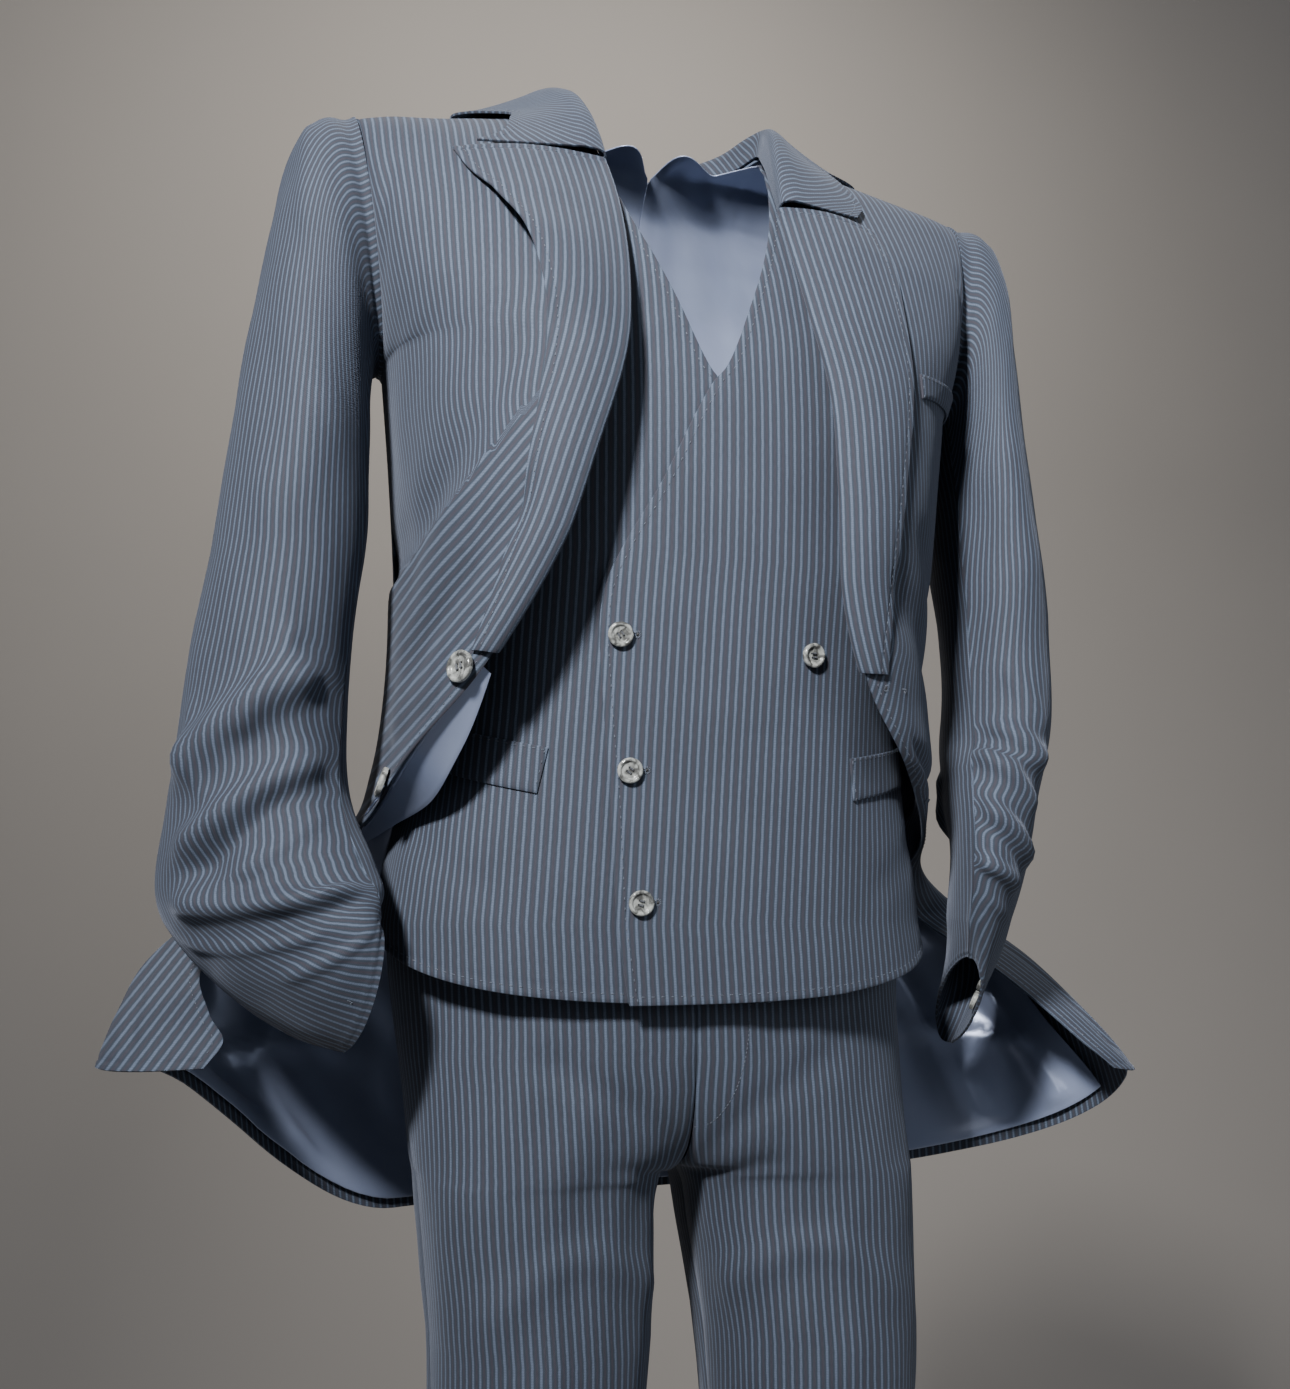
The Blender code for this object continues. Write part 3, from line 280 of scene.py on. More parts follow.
# The collar, a row for each section from its front end to the back of the neck: the front's or back's
# row where its stand is sewn, its width, the row where its edge lies, and the height of its fold.
COLLAR_END = {Side.RIGHT: (2.093, 0.084, 1.99, 0.004), Side.LEFT: (2.453, 0.056, 2.34, 0.004)}
COLLAR_FRONT_ROWS = ((1.75, 0.064, 1.70, 0.008), (1.20, 0.054, 1.20, 0.013), (0.60, 0.048, 0.60, 0.018))
COLLAR_BACK_ROWS = (
    (0.00, 0.046, 0.00, 0.022),
    (0.50, 0.044, 0.80, 0.024),
    (1.00, 0.040, 1.50, 0.026),
    (1.50, 0.022, 2.30, 0.027),
    (2.00, 0.000, 2.85, 0.027),
)
# The collar's front rows are those of a collar that ends at this row; they are scaled to another end.
COLLAR_FULL_ROW = 2.1
# How far the collar's fall stands off the jacket.
COLLAR_CLEAR = 0.0036

# The body that the waistcoat lies on, a row for each level: z, half width, and the depths before and
# behind. Its shoulders slope outside the neck.
BODY_ROWS = (
    (-0.002, 0.200, 0.000, 0.000),
    (-0.008, 0.200, 0.010, 0.030),
    (-0.030, 0.200, 0.040, 0.062),
    (-0.060, 0.200, 0.072, 0.078),
    (-0.100, 0.199, 0.100, 0.092),
    (-0.150, 0.194, 0.128, 0.102),
    (-0.200, 0.186, 0.143, 0.106),
    (-0.250, 0.180, 0.149, 0.103),
    (-0.350, 0.172, 0.147, 0.089),
    (-0.450, 0.170, 0.141, 0.086),
    (-0.500, 0.177, 0.138, 0.092),
    (-0.550, 0.187, 0.136, 0.103),
    (-0.600, 0.194, 0.134, 0.119),
    (-0.640, 0.198, 0.132, 0.130),
)
BODY_POWER = 2.5
BODY_NECK, BODY_SLOPE = 0.077, 0.172
# Waistcoat: x and z of the inner edge, which crosses to the far side in front, then of the outer edge at
# the armhole. SIDE in place of its x stands for the side seam.
SIDE = 1.0
VEST_FRONT_ROWS = (
    (0.077, -0.002, 0.135, -0.012),
    (0.064, -0.050, 0.130, -0.060),
    (0.049, -0.112, 0.137, -0.120),
    (0.024, -0.180, 0.158, -0.180),
    (0.000, -0.232, SIDE, -0.222),
    (-0.036, -0.302, SIDE, -0.290),
    (-0.071, -0.374, SIDE, -0.355),
    (-0.068, -0.440, SIDE, -0.420),
    (-0.059, -0.505, SIDE, -0.480),
    (-0.052, -0.570, SIDE, -0.535),
    (-0.046, -0.629, SIDE, -0.580),
)
VEST_BACK_ROWS = (
    (0.077, -0.002, 0.135, -0.012),
    (0.050, -0.006, 0.132, -0.050),
    (0.000, -0.012, 0.137, -0.105),
    (0.000, -0.110, 0.158, -0.170),
    (0.000, -0.225, SIDE, -0.222),
    (0.000, -0.340, SIDE, -0.340),
    (0.000, -0.460, SIDE, -0.460),
    (0.000, -0.590, SIDE, -0.580),
)
# The hem runs level at first and drops near the side: from which row, over how many, and how steeply.
VEST_HEM_ROW, VEST_HEM_ROWS, VEST_HEM_STEEP = 6, 4, 2.2
# The left front's lift over the right one, which fades out between two distances from the middle and
# in between two rows.
OVERLAP_LIFT, OVERLAP_FROM, OVERLAP_TO = 0.0042, 0.085, 0.130
OVERLAP_ROW, OVERLAP_ROWS = 2.2, 1.3

# Trouser legs, a row for each level: z, the centre's x, the half width, the centre's y, and the depths
# before and behind.
LEG_ROWS = (
    (-0.460, 0.0000, 0.163, 0.000, 0.126, 0.0840),
    (-0.500, 0.0000, 0.168, 0.000, 0.127, 0.0890),
    (-0.550, 0.0000, 0.176, 0.000, 0.127, 0.0980),
    (-0.600, 0.0000, 0.181, 0.000, 0.123, 0.107),
    (-0.640, 0.0100, 0.169, 0.000, 0.119, 0.114),
    (-0.690, 0.0450, 0.130, 0.000, 0.110, 0.112),
    (-0.735, 0.0790, 0.0930, 0.000, 0.102, 0.104),
    (-0.752, 0.0900, 0.0795, 0.000, 0.098, 0.100),
    (-0.800, 0.0920, 0.0755, 0.000, 0.095, 0.095),
    (-0.880, 0.0940, 0.0710, -0.005, 0.090, 0.088),
    (-1.000, 0.0960, 0.0660, -0.005, 0.084, 0.079),
    (-1.100, 0.1000, 0.0620, -0.005, 0.077, 0.073),
    (-1.250, 0.1060, 0.0590, 0.000, 0.070, 0.071),
    (-1.400, 0.1120, 0.0570, 0.005, 0.068, 0.071),
    (-1.545, 0.1180, 0.0580, 0.010, 0.076, 0.070),
)
WAIST_ROW, CROTCH_ROW = 1, 7
# How much fuller than an oval the legs are near the crotch, at which row and over how many.
SEAT_FULL, SEAT_ROW, SEAT_ROWS = 0.4, 7.5, 2.0
# How fast the inner edge's sway fades towards the side seam: the power is this many degrees by the
# sway's own, between two limits.
SWAY_FADE, SWAY_POWERS = 150, (1.6, 6)
# The pressed crease: its height, its place and half width across, its first row and how it fades in.
CREASE_HEIGHT, CREASE_ACROSS, CREASE_HALF_WIDTH, CREASE_ROW, CREASE_FADE = 0.0016, 0.52, 0.03, 5.5, 3
# The fly's line of stitches: its rows, its distance from the middle, and the share of it where it
# begins to turn in.
FLY_ROWS, FLY_WIDTH, FLY_TURN = (1.2, 5.4), 0.036, 0.55

# Buttons: radius, thickness and length of the thread shank.
JACKET_BUTTON = (0.0100, 0.0034, 0.0016)
VEST_BUTTON = (0.0080, 0.0030, 0.0012)
CUFF_BUTTON = (0.0072, 0.0028, 0.0012)
# Where they are sewn: the front's row and the distance from its edge; the share across the upper sleeve
# and the 24ths of its length; the share across the waistcoat's front and its row.
JACKET_BUTTON_ROWS = ((8.0, 0.013), (9.5, 0.014))
CUFF_BUTTON_ACROSS = {Side.RIGHT: 0.25, Side.LEFT: 0.35}
CUFF_BUTTON_STEPS = {Side.RIGHT: (20.3, 21.1, 21.95, 22.9), Side.LEFT: (19.6, 20.7, 21.8, 22.9)}
VEST_BUTTONS = ((0.040, 6.45), (0.038, 7.72), (0.040, 8.95), (0.340, 6.60))
# The waistcoat's first three buttons have a buttonhole; the fourth is sewn on for show.
VEST_BUTTONHOLES = 3
# A button's face from its edge inwards: each inset as a share of the radius, and the rise after it as a
# share of the thickness.
BUTTON_FACE = ((0.10, 0.28), (0.14, 0.0), (0.12, -0.48), (0.22, -0.06))

# Pocket welts: from and to across, from and to down, and how far their outer ends rise.
BREAST_WELT = (0.37, 0.80, 4.52, 4.98, -0.22)
VEST_WELT = (0.43, 0.72, 7.62, 8.05, -0.10)
WELT_LIFT, WELT_TURN, WELT_TURN_WIDTH = 0.0020, 0.0006, 0.0016

# Cloth near seams and edges: how far in from them it lies quiet, a seam's furrow, and the furrow and the
# roll of an edge that is turned and stitched.
QUIET_WIDTH = 0.030
SEAM_DEPTH, SEAM_HALF_WIDTH = 0.0011, 0.0028
STITCHED_DEPTH, STITCHED_INSET, STITCHED_HALF_WIDTH = 0.0005, 0.006, 0.0012
ROLLED_HEIGHT, ROLLED_INSET, ROLLED_HALF_WIDTH = 0.0003, 0.003, 0.002

# Stitches: half their length, width and height. Pick stitches lie at even steps, inside the edge.
PICK_STITCH, PICK_STEP, PICK_INSET = (0.0013, 0.00035, 0.00030), 0.0062, 0.0062
VEST_PICK_INSET, WELT_PICK_INSET = 0.0055, 0.0018
FLY_STITCH, FLY_STEP = (0.0011, 0.00035, 0.00030), 0.0028
# Buttonholes: their stitches and how they are spaced along the gap and beside it, the radius of the round end
# and the half opening of its ring of stitches, and the half width and height of the dark gap, a near-black bead
# of painted shade in the opening.
HOLE_STITCH, HOLE_START, HOLE_STEP, HOLE_BESIDE = (0.0009, 0.00038, 0.0003), 0.0018, 0.0008, 0.0011
HOLE_EYE, HOLE_EYE_OPENING, HOLE_EYE_STITCHES = 0.0019, 0.6, 10
HOLE_EYE_SHADE_SIZE, HOLE_CUT_SHADE_SIZE = (0.0011, 0.0011, 0.0002), (0.0004, 0.0002)
HOLE_SINK = 0.2

# Finer folds of the looks, as tables of the same columns as the solids' folds, for each named surface.
CREASES: dict[str, Table] = {
    "front_right": (
        (0.16, 4.6, 0.85, 7.4, 0.016, 0.0030),
        (0.30, 7.0, 0.95, 8.2, 0.010, 0.0022),
        (0.25, 9.3, 0.85, 10.1, 0.010, 0.0020),
        (0.70, 2.2, 0.97, 3.9, 0.014, 0.0022),
        (0.60, 11.8, 0.55, 15.5, 0.020, 0.0030),
    ),
    "front_left": (
        (0.30, 6.2, 0.90, 7.6, 0.012, 0.0022),
        (0.35, 9.2, 0.85, 10.2, 0.010, 0.0018),
        (0.72, 2.4, 0.98, 4.0, 0.014, 0.0022),
        (0.50, 11.6, 0.50, 15.6, 0.020, 0.0030),
    ),
    "back": (
        (0.10, 6.2, 0.75, 7.4, 0.014, 0.0024),
        (0.20, 8.8, 0.80, 8.4, 0.012, 0.0022),
        (0.15, 3.0, 0.60, 2.3, 0.018, 0.0020),
        (0.55, 10.5, 0.50, 16.0, 0.022, 0.0036),
        (0.25, 11.5, 0.18, 16.2, 0.018, 0.0034),
    ),
    "sleeve_right": (
        (0.30, 5.2, 0.24, 6.6, 0.006, 0.0030),
        (0.10, 6.1, 0.22, 7.2, 0.007, 0.0030),
        (0.44, 7.2, 0.22, 8.2, 0.006, 0.0028),
        (0.10, 8.4, 0.34, 9.5, 0.006, 0.0026),
        (0.18, 9.4, 0.42, 10.4, 0.007, 0.0024),
        (0.70, 5.6, 0.88, 6.9, 0.010, 0.0040),
        (0.62, 6.8, 0.86, 7.9, 0.009, 0.0040),
        (0.05, 1.2, 0.20, 2.6, 0.012, 0.0016),
    ),
    "sleeve_left": (
        (0.36, 5.0, 0.22, 6.2, 0.009, 0.0020),
        (0.20, 6.3, 0.36, 6.9, 0.008, 0.0018),
        (0.44, 7.1, 0.20, 7.6, 0.008, 0.0020),
        (0.22, 8.3, 0.42, 8.1, 0.008, 0.0018),
        (0.42, 9.2, 0.22, 8.9, 0.009, 0.0016),
        (0.70, 5.6, 0.88, 6.9, 0.010, 0.0040),
        (0.62, 6.8, 0.86, 7.9, 0.009, 0.0040),
        (0.05, 1.2, 0.20, 2.6, 0.012, 0.0016),
    ),
    "waistcoat_front": (
        (0.55, 5.4, 0.96, 6.3, 0.010, 0.0014),
        (0.60, 7.2, 0.97, 6.9, 0.009, 0.0012),
        (0.45, 9.0, 0.95, 8.4, 0.012, 0.0012),
    ),
    "waistcoat_back": (
        (0.10, 4.2, 0.85, 4.9, 0.012, 0.0022),
        (0.15, 5.4, 0.90, 5.2, 0.010, 0.0020),
    ),
    "leg_front": (
        (0.05, 5.9, 0.62, 4.3, 0.016, 0.0022),
        (0.02, 6.9, 0.42, 5.8, 0.014, 0.0024),
        (0.10, 8.3, 0.45, 7.7, 0.014, -0.0030),
        (0.45, 7.7, 0.72, 8.4, 0.014, -0.0024),
        (0.20, 9.8, 0.85, 10.1, 0.014, 0.0024),
        (0.15, 13.3, 0.80, 13.6, 0.012, 0.0034),
    ),
    "leg_back": (
        (0.05, 6.6, 0.70, 5.8, 0.014, 0.0040),
        (0.10, 7.6, 0.80, 7.1, 0.012, 0.0036),
        (0.15, 10.3, 0.85, 10.0, 0.012, 0.0040),
        (0.20, 13.2, 0.85, 13.5, 0.012, 0.0036),
    ),
    "lining": (
        (0.95, 6.5, 0.20, 8.5, 0.012, 0.0040),
        (0.90, 8.5, 0.25, 11.0, 0.014, 0.0050),
        (0.75, 10.5, 0.15, 13.0, 0.012, 0.0060),
        (0.80, 12.5, 0.70, 16.5, 0.014, 0.0070),
        (0.45, 12.0, 0.40, 16.8, 0.012, 0.0070),
        (0.20, 13.0, 0.22, 16.8, 0.010, 0.0060),
        (0.60, 13.5, 0.15, 15.0, 0.010, 0.0050),
    ),
}


def spline(rows: Table | Array, at: Array | float) -> Array:
    """Read rows of numbers along a smooth curve through them.

    Args:
        rows: a row of numbers for each level.
        at: row numbers, which may be fractions.

    Returns:
        A row of numbers for each place asked for.
    """
    rows = np.asarray(rows, float)
    padded = np.concatenate([2 * rows[:1] - rows[1:2], rows, 2 * rows[-1:] - rows[-2:-1]])
    at = np.asarray(at, float)
    first = np.clip(at.astype(int), 0, len(rows) - 2)
    part = (at - first).reshape(at.shape + (1,) * (rows.ndim - 1))
    a, b, c, d = (padded[first + k] for k in range(4))
    square = part * part
    return b + 0.5 * (
        (c - a) * part + (2 * a - 5 * b + 4 * c - d) * square + (3 * b - a - 3 * c + d) * square * part
    )


def unit(vectors: Array) -> Array:
    """Return vectors scaled to a length of one."""
    return vectors / np.maximum(np.linalg.norm(vectors, axis=-1, keepdims=True), 1e-12)


def smooth(share: Array | float) -> Array:
    """Return a soft step from 0 to 1."""
    share = np.clip(share, 0, 1)
    return share * share * (3 - 2 * share)


def swell(distance: Array, half_width: float) -> Array:
    """Return a soft ridge that is 1 where the distance is 0."""
    return np.exp(-((distance / half_width) ** 2))


def mirrored(points: Array, side: Side) -> Array:
    """Return points of the +X half moved to the given side."""
    return points * np.array([side.value, 1.0, 1.0])


def stance(points: Array) -> Array:
    """Move points of the straight suit to how the worn suit stands.

    Args:
        points: places in the straight suit.

    Returns:
        The same places with the shoulders' lean and the hips' shift.
    """
    moved = np.array(points, float)
    moved[..., 2] -= SHOULDER_LEAN * moved[..., 0] * smooth((moved[..., 2] + 0.60) / 0.40)
    moved[..., 0] += np.interp(-points[..., 2], -np.array(STANCE_Z), STANCE_X)
    return moved


def armhole(degrees: Array | float) -> Array:
    """Find points of the armhole's oval.

    Args:
        degrees: 0 is its top, -90 the front, 90 the back and 180 the armpit.

    Returns:
        The points, on the +X half.
    """
    angle = np.radians(np.asarray(degrees, float))
    z = ARMHOLE_Z + ARMHOLE_HALF_HEIGHT * np.cos(angle)
    y = ARMHOLE_Y + ARMHOLE_HALF_DEPTH * np.sin(angle)
    return np.stack([ARMHOLE_X + ARMHOLE_SLOPE * (z - ARMHOLE_Z), y, z], axis=-1)


def fold_depth(folds: Table, size: tuple[float, float], s: Array, t: Array) -> Array:
    """Work out how far inwards a table of folds presses a surface.

    Args:
        folds: rows of from_s, from_t, to_s, to_t, half_width and depth.
        size: metres to a step of s and of t.
        s: places across.
        t: places down.

    Returns:
        A depth for each place.
    """
    depth = np.zeros(np.broadcast(s, t).shape)
    for from_s, from_t, to_s, to_t, half_width, deep in folds:
        run = np.array([(to_s - from_s) * size[0], (to_t - from_t) * size[1]])
        length = np.hypot(*run)
        along = ((s - from_s) * size[0] * run[0] + (t - from_t) * size[1] * run[1]) / length**2
        beside = ((s - from_s) * size[0] * run[1] - (t - from_t) * size[1] * run[0]) / length
        end = np.clip(np.abs(along - 0.5) - 0.32, 0, None) * length
        depth += deep * np.exp(-((beside / half_width) ** 2) - (end / (1.3 * half_width)) ** 2)
    return depth


def slopes(surface: Surface, s: Array, t: Array) -> tuple[Array, Array]:
    """Find the directions of a surface.

    Args:
        surface: the surface.
        s: places across.
        t: places down.

    Returns:
        The unit directions across and down at each place.
    """
    across = unit(surface(s + FEEL, t) - surface(s - FEEL, t))
    down = unit(surface(s, t + FEEL) - surface(s, t - FEEL))
    return across, down


def pressed(surface: Surface, folds: Table, size: tuple[float, float], turn: int) -> Surface:
    """Press a table of folds into a surface.

    Args:
        surface: the plain surface.
        folds: the folds' table.
        size: metres to a step of s and of t.
        turn: 1 or -1, for which side of the surface is out.

    Returns:
        The folded surface.
    """

    def folded(s: Array, t: Array) -> Array:
        """Read the folded surface.

        Args:
            s: places across.
            t: places down.

        Returns:
            Points of the straight suit.
        """
        across, down = slopes(surface, s, t)
        normal = unit(np.cross(across, down)) * turn
        return surface(s, t) - normal * fold_depth(folds, size, s, t)[..., None]

    return folded


def flank_line(side: Side, angles: Sequence[float], t: Array) -> Array:
    """Follow the outer edge of a jacket panel: round the armhole, then down the side seam.

    Args:
        side: which side of the jacket.
        angles: places on the armhole, one for each row.
        t: row numbers.

    Returns:
        Points on the +X half.
    """
    below = np.array([armhole(180), *(row[3:] for row in FRONT_ROWS[side][1:])])
    last = len(angles) - 1
    on_hole = armhole(np.interp(t, np.arange(last + 1), angles))
    return np.where((t < last)[..., None], on_hole, spline(below, np.maximum(t - last, 0)))


def jacket_front(side: Side) -> Surface:
    """Make the surface of a jacket front.

    Args:
        side: which side of the wearer.

    Returns:
        The surface: s from its edge to its flank, t in table rows.
    """
    edges = [row[:3] for row in FRONT_TOP + FRONT_ROWS[side]]
    angles = [row[3] for row in FRONT_TOP] + [-180]

    def surface(s: Array, t: Array) -> Array:
        """Read the front's surface.

        Args:
            s: places across.
            t: places down.

        Returns:
            Points of the straight suit.
        """
        s, t = np.broadcast_arrays(s, t)
        edge, flank = spline(edges, t), flank_line(side, angles, t)
        turn = np.radians(90) * s[..., None]
        out, back = np.sin(turn), 1 - np.cos(turn)
        share = np.concatenate([out, back, out], axis=-1)
        return mirrored(edge + (flank - edge) * share, side)

    return pressed(surface, FRONT_FOLDS[side], FRONT_SIZE, -side.value)


def jacket_back(side: Side) -> Surface:
    """Make the surface of a jacket back.

    Args:
        side: which side of the wearer.

    Returns:
        The surface: s from its flank to the spine, t in table rows.
    """
    spine = [row[1:] for row in BACK_TOP] + [(0.0, *row) for row in SPINE_ROWS]
    angles = [row[0] for row in BACK_TOP]

    def surface(s: Array, t: Array) -> Array:
        """Read the back's surface.

        Args:
            s: places across.
            t: places down.

        Returns:
            Points of the straight suit.
        """
        s, t = np.broadcast_arrays(s, t)
        middle, flank = spline(spine, t), flank_line(side, angles, t)
        middle[..., 0] = np.where(t < 2, np.maximum(middle[..., 0], 0), 0)
        turn = np.radians(90) * s[..., None]
        across, back = 1 - np.cos(turn), np.sin(turn)
        drop = smooth((t[..., None] - HEM_ROW) / HEM_ROWS)
        turned = HEM_TURN[side] * smooth((t[..., None] - HEM_TURN_ROW) / HEM_TURN_ROWS)
        swung = HEM_TURN_IN * np.sin(2 * turn) * smooth(s[..., None] / HEM_TURN_WIDTH)
        inwards = across + swung * turned
        steep = np.abs(back) ** HEM_STEEP
        steep = steep + (smooth((s[..., None] - HEM_DROP_FROM) / HEM_DROP_WIDTH) - steep) * turned
        share = np.concatenate([inwards, back, across + (steep - across) * drop], axis=-1)
        return mirrored(flank + (middle - flank) * share, side)

    return surface


def sleeve_surface(side: Side) -> Surface:
    """Make the surface of a sleeve.

    Args:
        side: which side of the wearer.

    Returns:
        The surface: s round it from outside to front and on, t in table rows.
    """
    rings = np.array(UPPER_ARM_ROWS[side] + FOREARM_ROWS[side])
    outer, inner = rings[:, :3], rings[:, 3:6]
    deep = np.stack([rings[:, 7], -np.ones(len(rings)), np.zeros(len(rings))], axis=1)
    table = np.concatenate([(outer + inner) / 2, (outer - inner) / 2, unit(deep) * rings[:, 6:7]], axis=1)
    top, front, end = armhole(0), armhole(-90), armhole(180)
    table = np.vstack([np.concatenate([(top + end) / 2, (top - end) / 2, front - (top + end) / 2]), table])

    def surface(s: Array, t: Array) -> Array:
        """Read the sleeve's surface.

        Args:
            s: places across.
            t: places down.

        Returns:
            Points of the straight suit.
        """
        s, t = np.broadcast_arrays(s, t)
        row = spline(table, t)
        turn = 2 * np.pi * s[..., None]
        return mirrored(row[..., :3] + row[..., 3:6] * np.cos(turn) + row[..., 6:] * np.sin(turn), side)

    return pressed(surface, SLEEVE_FOLDS[side], SLEEVE_SIZE, -side.value)


def body_point(degrees: Array, z: Array, behind: bool) -> Array:
    """Find points of the body that the waistcoat lies on.

    Args:
        degrees: the angle from the middle, 90 at the side.
        z: the height.
        behind: whether the back is meant.

    Returns:
        Points on the +X half.
    """
    rows = np.array(BODY_ROWS)

    def at(level: Array) -> Array:
        """Read the body's rows at a height."""
        return spline(rows[:, 1:], np.interp(-level, -rows[:, 0], np.arange(len(rows))))

    angle = np.radians(degrees)
    x = at(z)[..., 0] * np.sign(angle) * np.abs(np.sin(angle)) ** (2 / BODY_POWER)
    level = np.minimum(z + BODY_SLOPE * np.clip(np.abs(x) - BODY_NECK, 0, None), rows[0, 0])
    y = at(level)[..., 2 if behind else 1] * np.abs(np.cos(angle)) ** (2 / BODY_POWER)
    return np.stack([x, y if behind else -y, z], axis=-1)


def body_angle(x: float, z: float) -> float:
    """Find the angle of a point of the body.

    Args:
        x: its distance from the middle.
        z: its height.

    Returns:
        The angle in degrees, 90 at the side.
    """
    rows = np.array(BODY_ROWS)
    share = np.clip(abs(x) / np.interp(-z, -rows[:, 0], rows[:, 1]), 0, 1)
    return float(np.degrees(np.arcsin(share ** (BODY_POWER / 2))) * np.sign(x))


def waistcoat_surface(rows: Table, side: Side, behind: bool) -> Surface:
    """Make the surface of a waistcoat's front or back.

    Args:
        rows: the table of its edges.
        side: which side of the wearer.
        behind: whether the back is meant.

    Returns:
        The surface: s from its inner to its outer edge, t in table rows.
    """
    table = []
    for edge_x, edge_z, side_x, side_z in rows:
        outer = 90.0 if side_x == SIDE else body_angle(side_x, side_z)
        table.append((body_angle(edge_x, edge_z), edge_z, outer, side_z))

    def surface(s: Array, t: Array) -> Array:
        """Read the waistcoat's surface.

        Args:
            s: places across.
            t: places down.

        Returns:
            Points of the straight suit.
        """
        s, t = np.broadcast_arrays(s, t)
        row = spline(table, t)
        outer = np.minimum(row[..., 2], 90)
        row[..., 0] = np.maximum(row[..., 0], 0) if behind else row[..., 0]
        angle = row[..., 0] + (outer - row[..., 0]) * s
        late = smooth((t - VEST_HEM_ROW) / VEST_HEM_ROWS)
        share = s + (np.abs(s) ** VEST_HEM_STEEP - s) * late
        z = row[..., 1] + (row[..., 3] - row[..., 1]) * share
        return mirrored(body_point(angle, z, behind), side)

    return surface


def leg_surface(side: Side, behind: bool) -> Surface:
    """Make the surface of a trouser panel.

    Args:
        side: which side of the wearer.
        behind: whether the back is meant.

    Returns:
        The surface: s from the inner edge to the side seam, t in table rows.
    """

    def surface(s: Array, t: Array) -> Array:
        """Read the leg's surface.

        Args:
            s: places across.
            t: places down.

        Returns:
            Points of the straight suit.
        """
        s, t = np.broadcast_arrays(s, t)
        z, centre, width, middle, front, back = np.moveaxis(spline(LEG_ROWS, t), -1, 0)
        centre = np.maximum(centre, 0)
        inner = -np.degrees(np.arcsin(np.clip(centre / width, 0, 1)))
        inner = np.where(t >= CROTCH_ROW, -90.0, inner)
        sway = inner + 90
        fade = np.clip(1 - s, 0, 1) ** np.clip(SWAY_FADE / np.maximum(sway, 1), *SWAY_POWERS)
        angle = np.radians(180 * s - 90 + sway * fade)
        x = centre + width * np.sin(angle)
        full = 1 - SEAT_FULL * swell(t - SEAT_ROW, SEAT_ROWS)
        depth = back if behind else -front
        y = middle + depth * np.sign(np.cos(angle)) * np.abs(np.cos(angle)) ** full
        return mirrored(np.stack([x, y, z], axis=-1), side)

    return surface


def waist_surface(side: Side) -> Surface:
    """Make the surface of one half of the waistband.

    Args:
        side: which side of the wearer.

    Returns:
        The surface: s from the middle of the front to that of the back, t in table rows.
    """

    def surface(s: Array, t: Array) -> Array:
        """Read the waistband's surface.

        Args:
            s: places across.
            t: places down.

        Returns:
            Points of the straight suit.
        """
        s, t = np.broadcast_arrays(s, t)
        row = spline(LEG_ROWS, t)
        angle = np.pi * s
        depth = np.where(s < 0.5, row[..., 4], row[..., 5])
        points = [row[..., 2] * np.sin(angle), -depth * np.cos(angle), row[..., 0]]
        return mirrored(np.stack(points, axis=-1), side)

    return surface


def lengths(points: Array, axis: int) -> Array:
    """Measure a grid of points along its rows or columns.

    Args:
        points: the grid.
        axis: 1 to measure across, 0 to measure down.

    Returns:
        How far each point lies from the first one of its row or column.
    """
    steps = np.linalg.norm(np.diff(points, axis=axis), axis=-1)
    start = np.zeros_like(np.take(steps, [0], axis=axis))
    return np.concatenate([start, np.cumsum(steps, axis=axis)], axis=axis)


def arc_places(surface: Surface, t: float, width: float, shares: Array) -> Array:
    """Find places across a surface by their distance from its edge.

    Args:
        surface: the surface.
        t: the row.
        width: a distance in metres.
        shares: shares of that distance.

    Returns:
        The places s.
    """
    s = np.linspace(0, 1, 50)
    run = np.linalg.norm(np.diff(surface(s, np.full_like(s, t)), axis=0), axis=1)
    return np.interp(width * np.asarray(shares), np.concatenate([[0], np.cumsum(run)]), s)


def grid_normals(points: Array, turn: int) -> Array:
    """Return the outward normals of a grid of points."""
    return unit(np.cross(np.gradient(points, axis=1), np.gradient(points, axis=0))) * turn


def ripple(u: Array, v: Array, seed: int) -> Array:
    """Make the soft unevenness of worn cloth.

    Args:
        u: metres across the cloth.
        v: metres down the cloth.
        seed: which pattern.

    Returns:
        A height from about -1 to 1 for each place.
    """
    draw = np.random.default_rng(seed)
    height = np.zeros(np.broadcast(u, v).shape)
    for _ in range(7):
        turn, phase = draw.uniform(-0.9, 0.9), draw.uniform(0, 2 * np.pi)
        reach = draw.uniform(0.035, 0.13)
        height += np.sin((u * math.cos(turn) + v * math.sin(turn)) * 2 * np.pi / reach + phase) / 7
    return height * 1.8


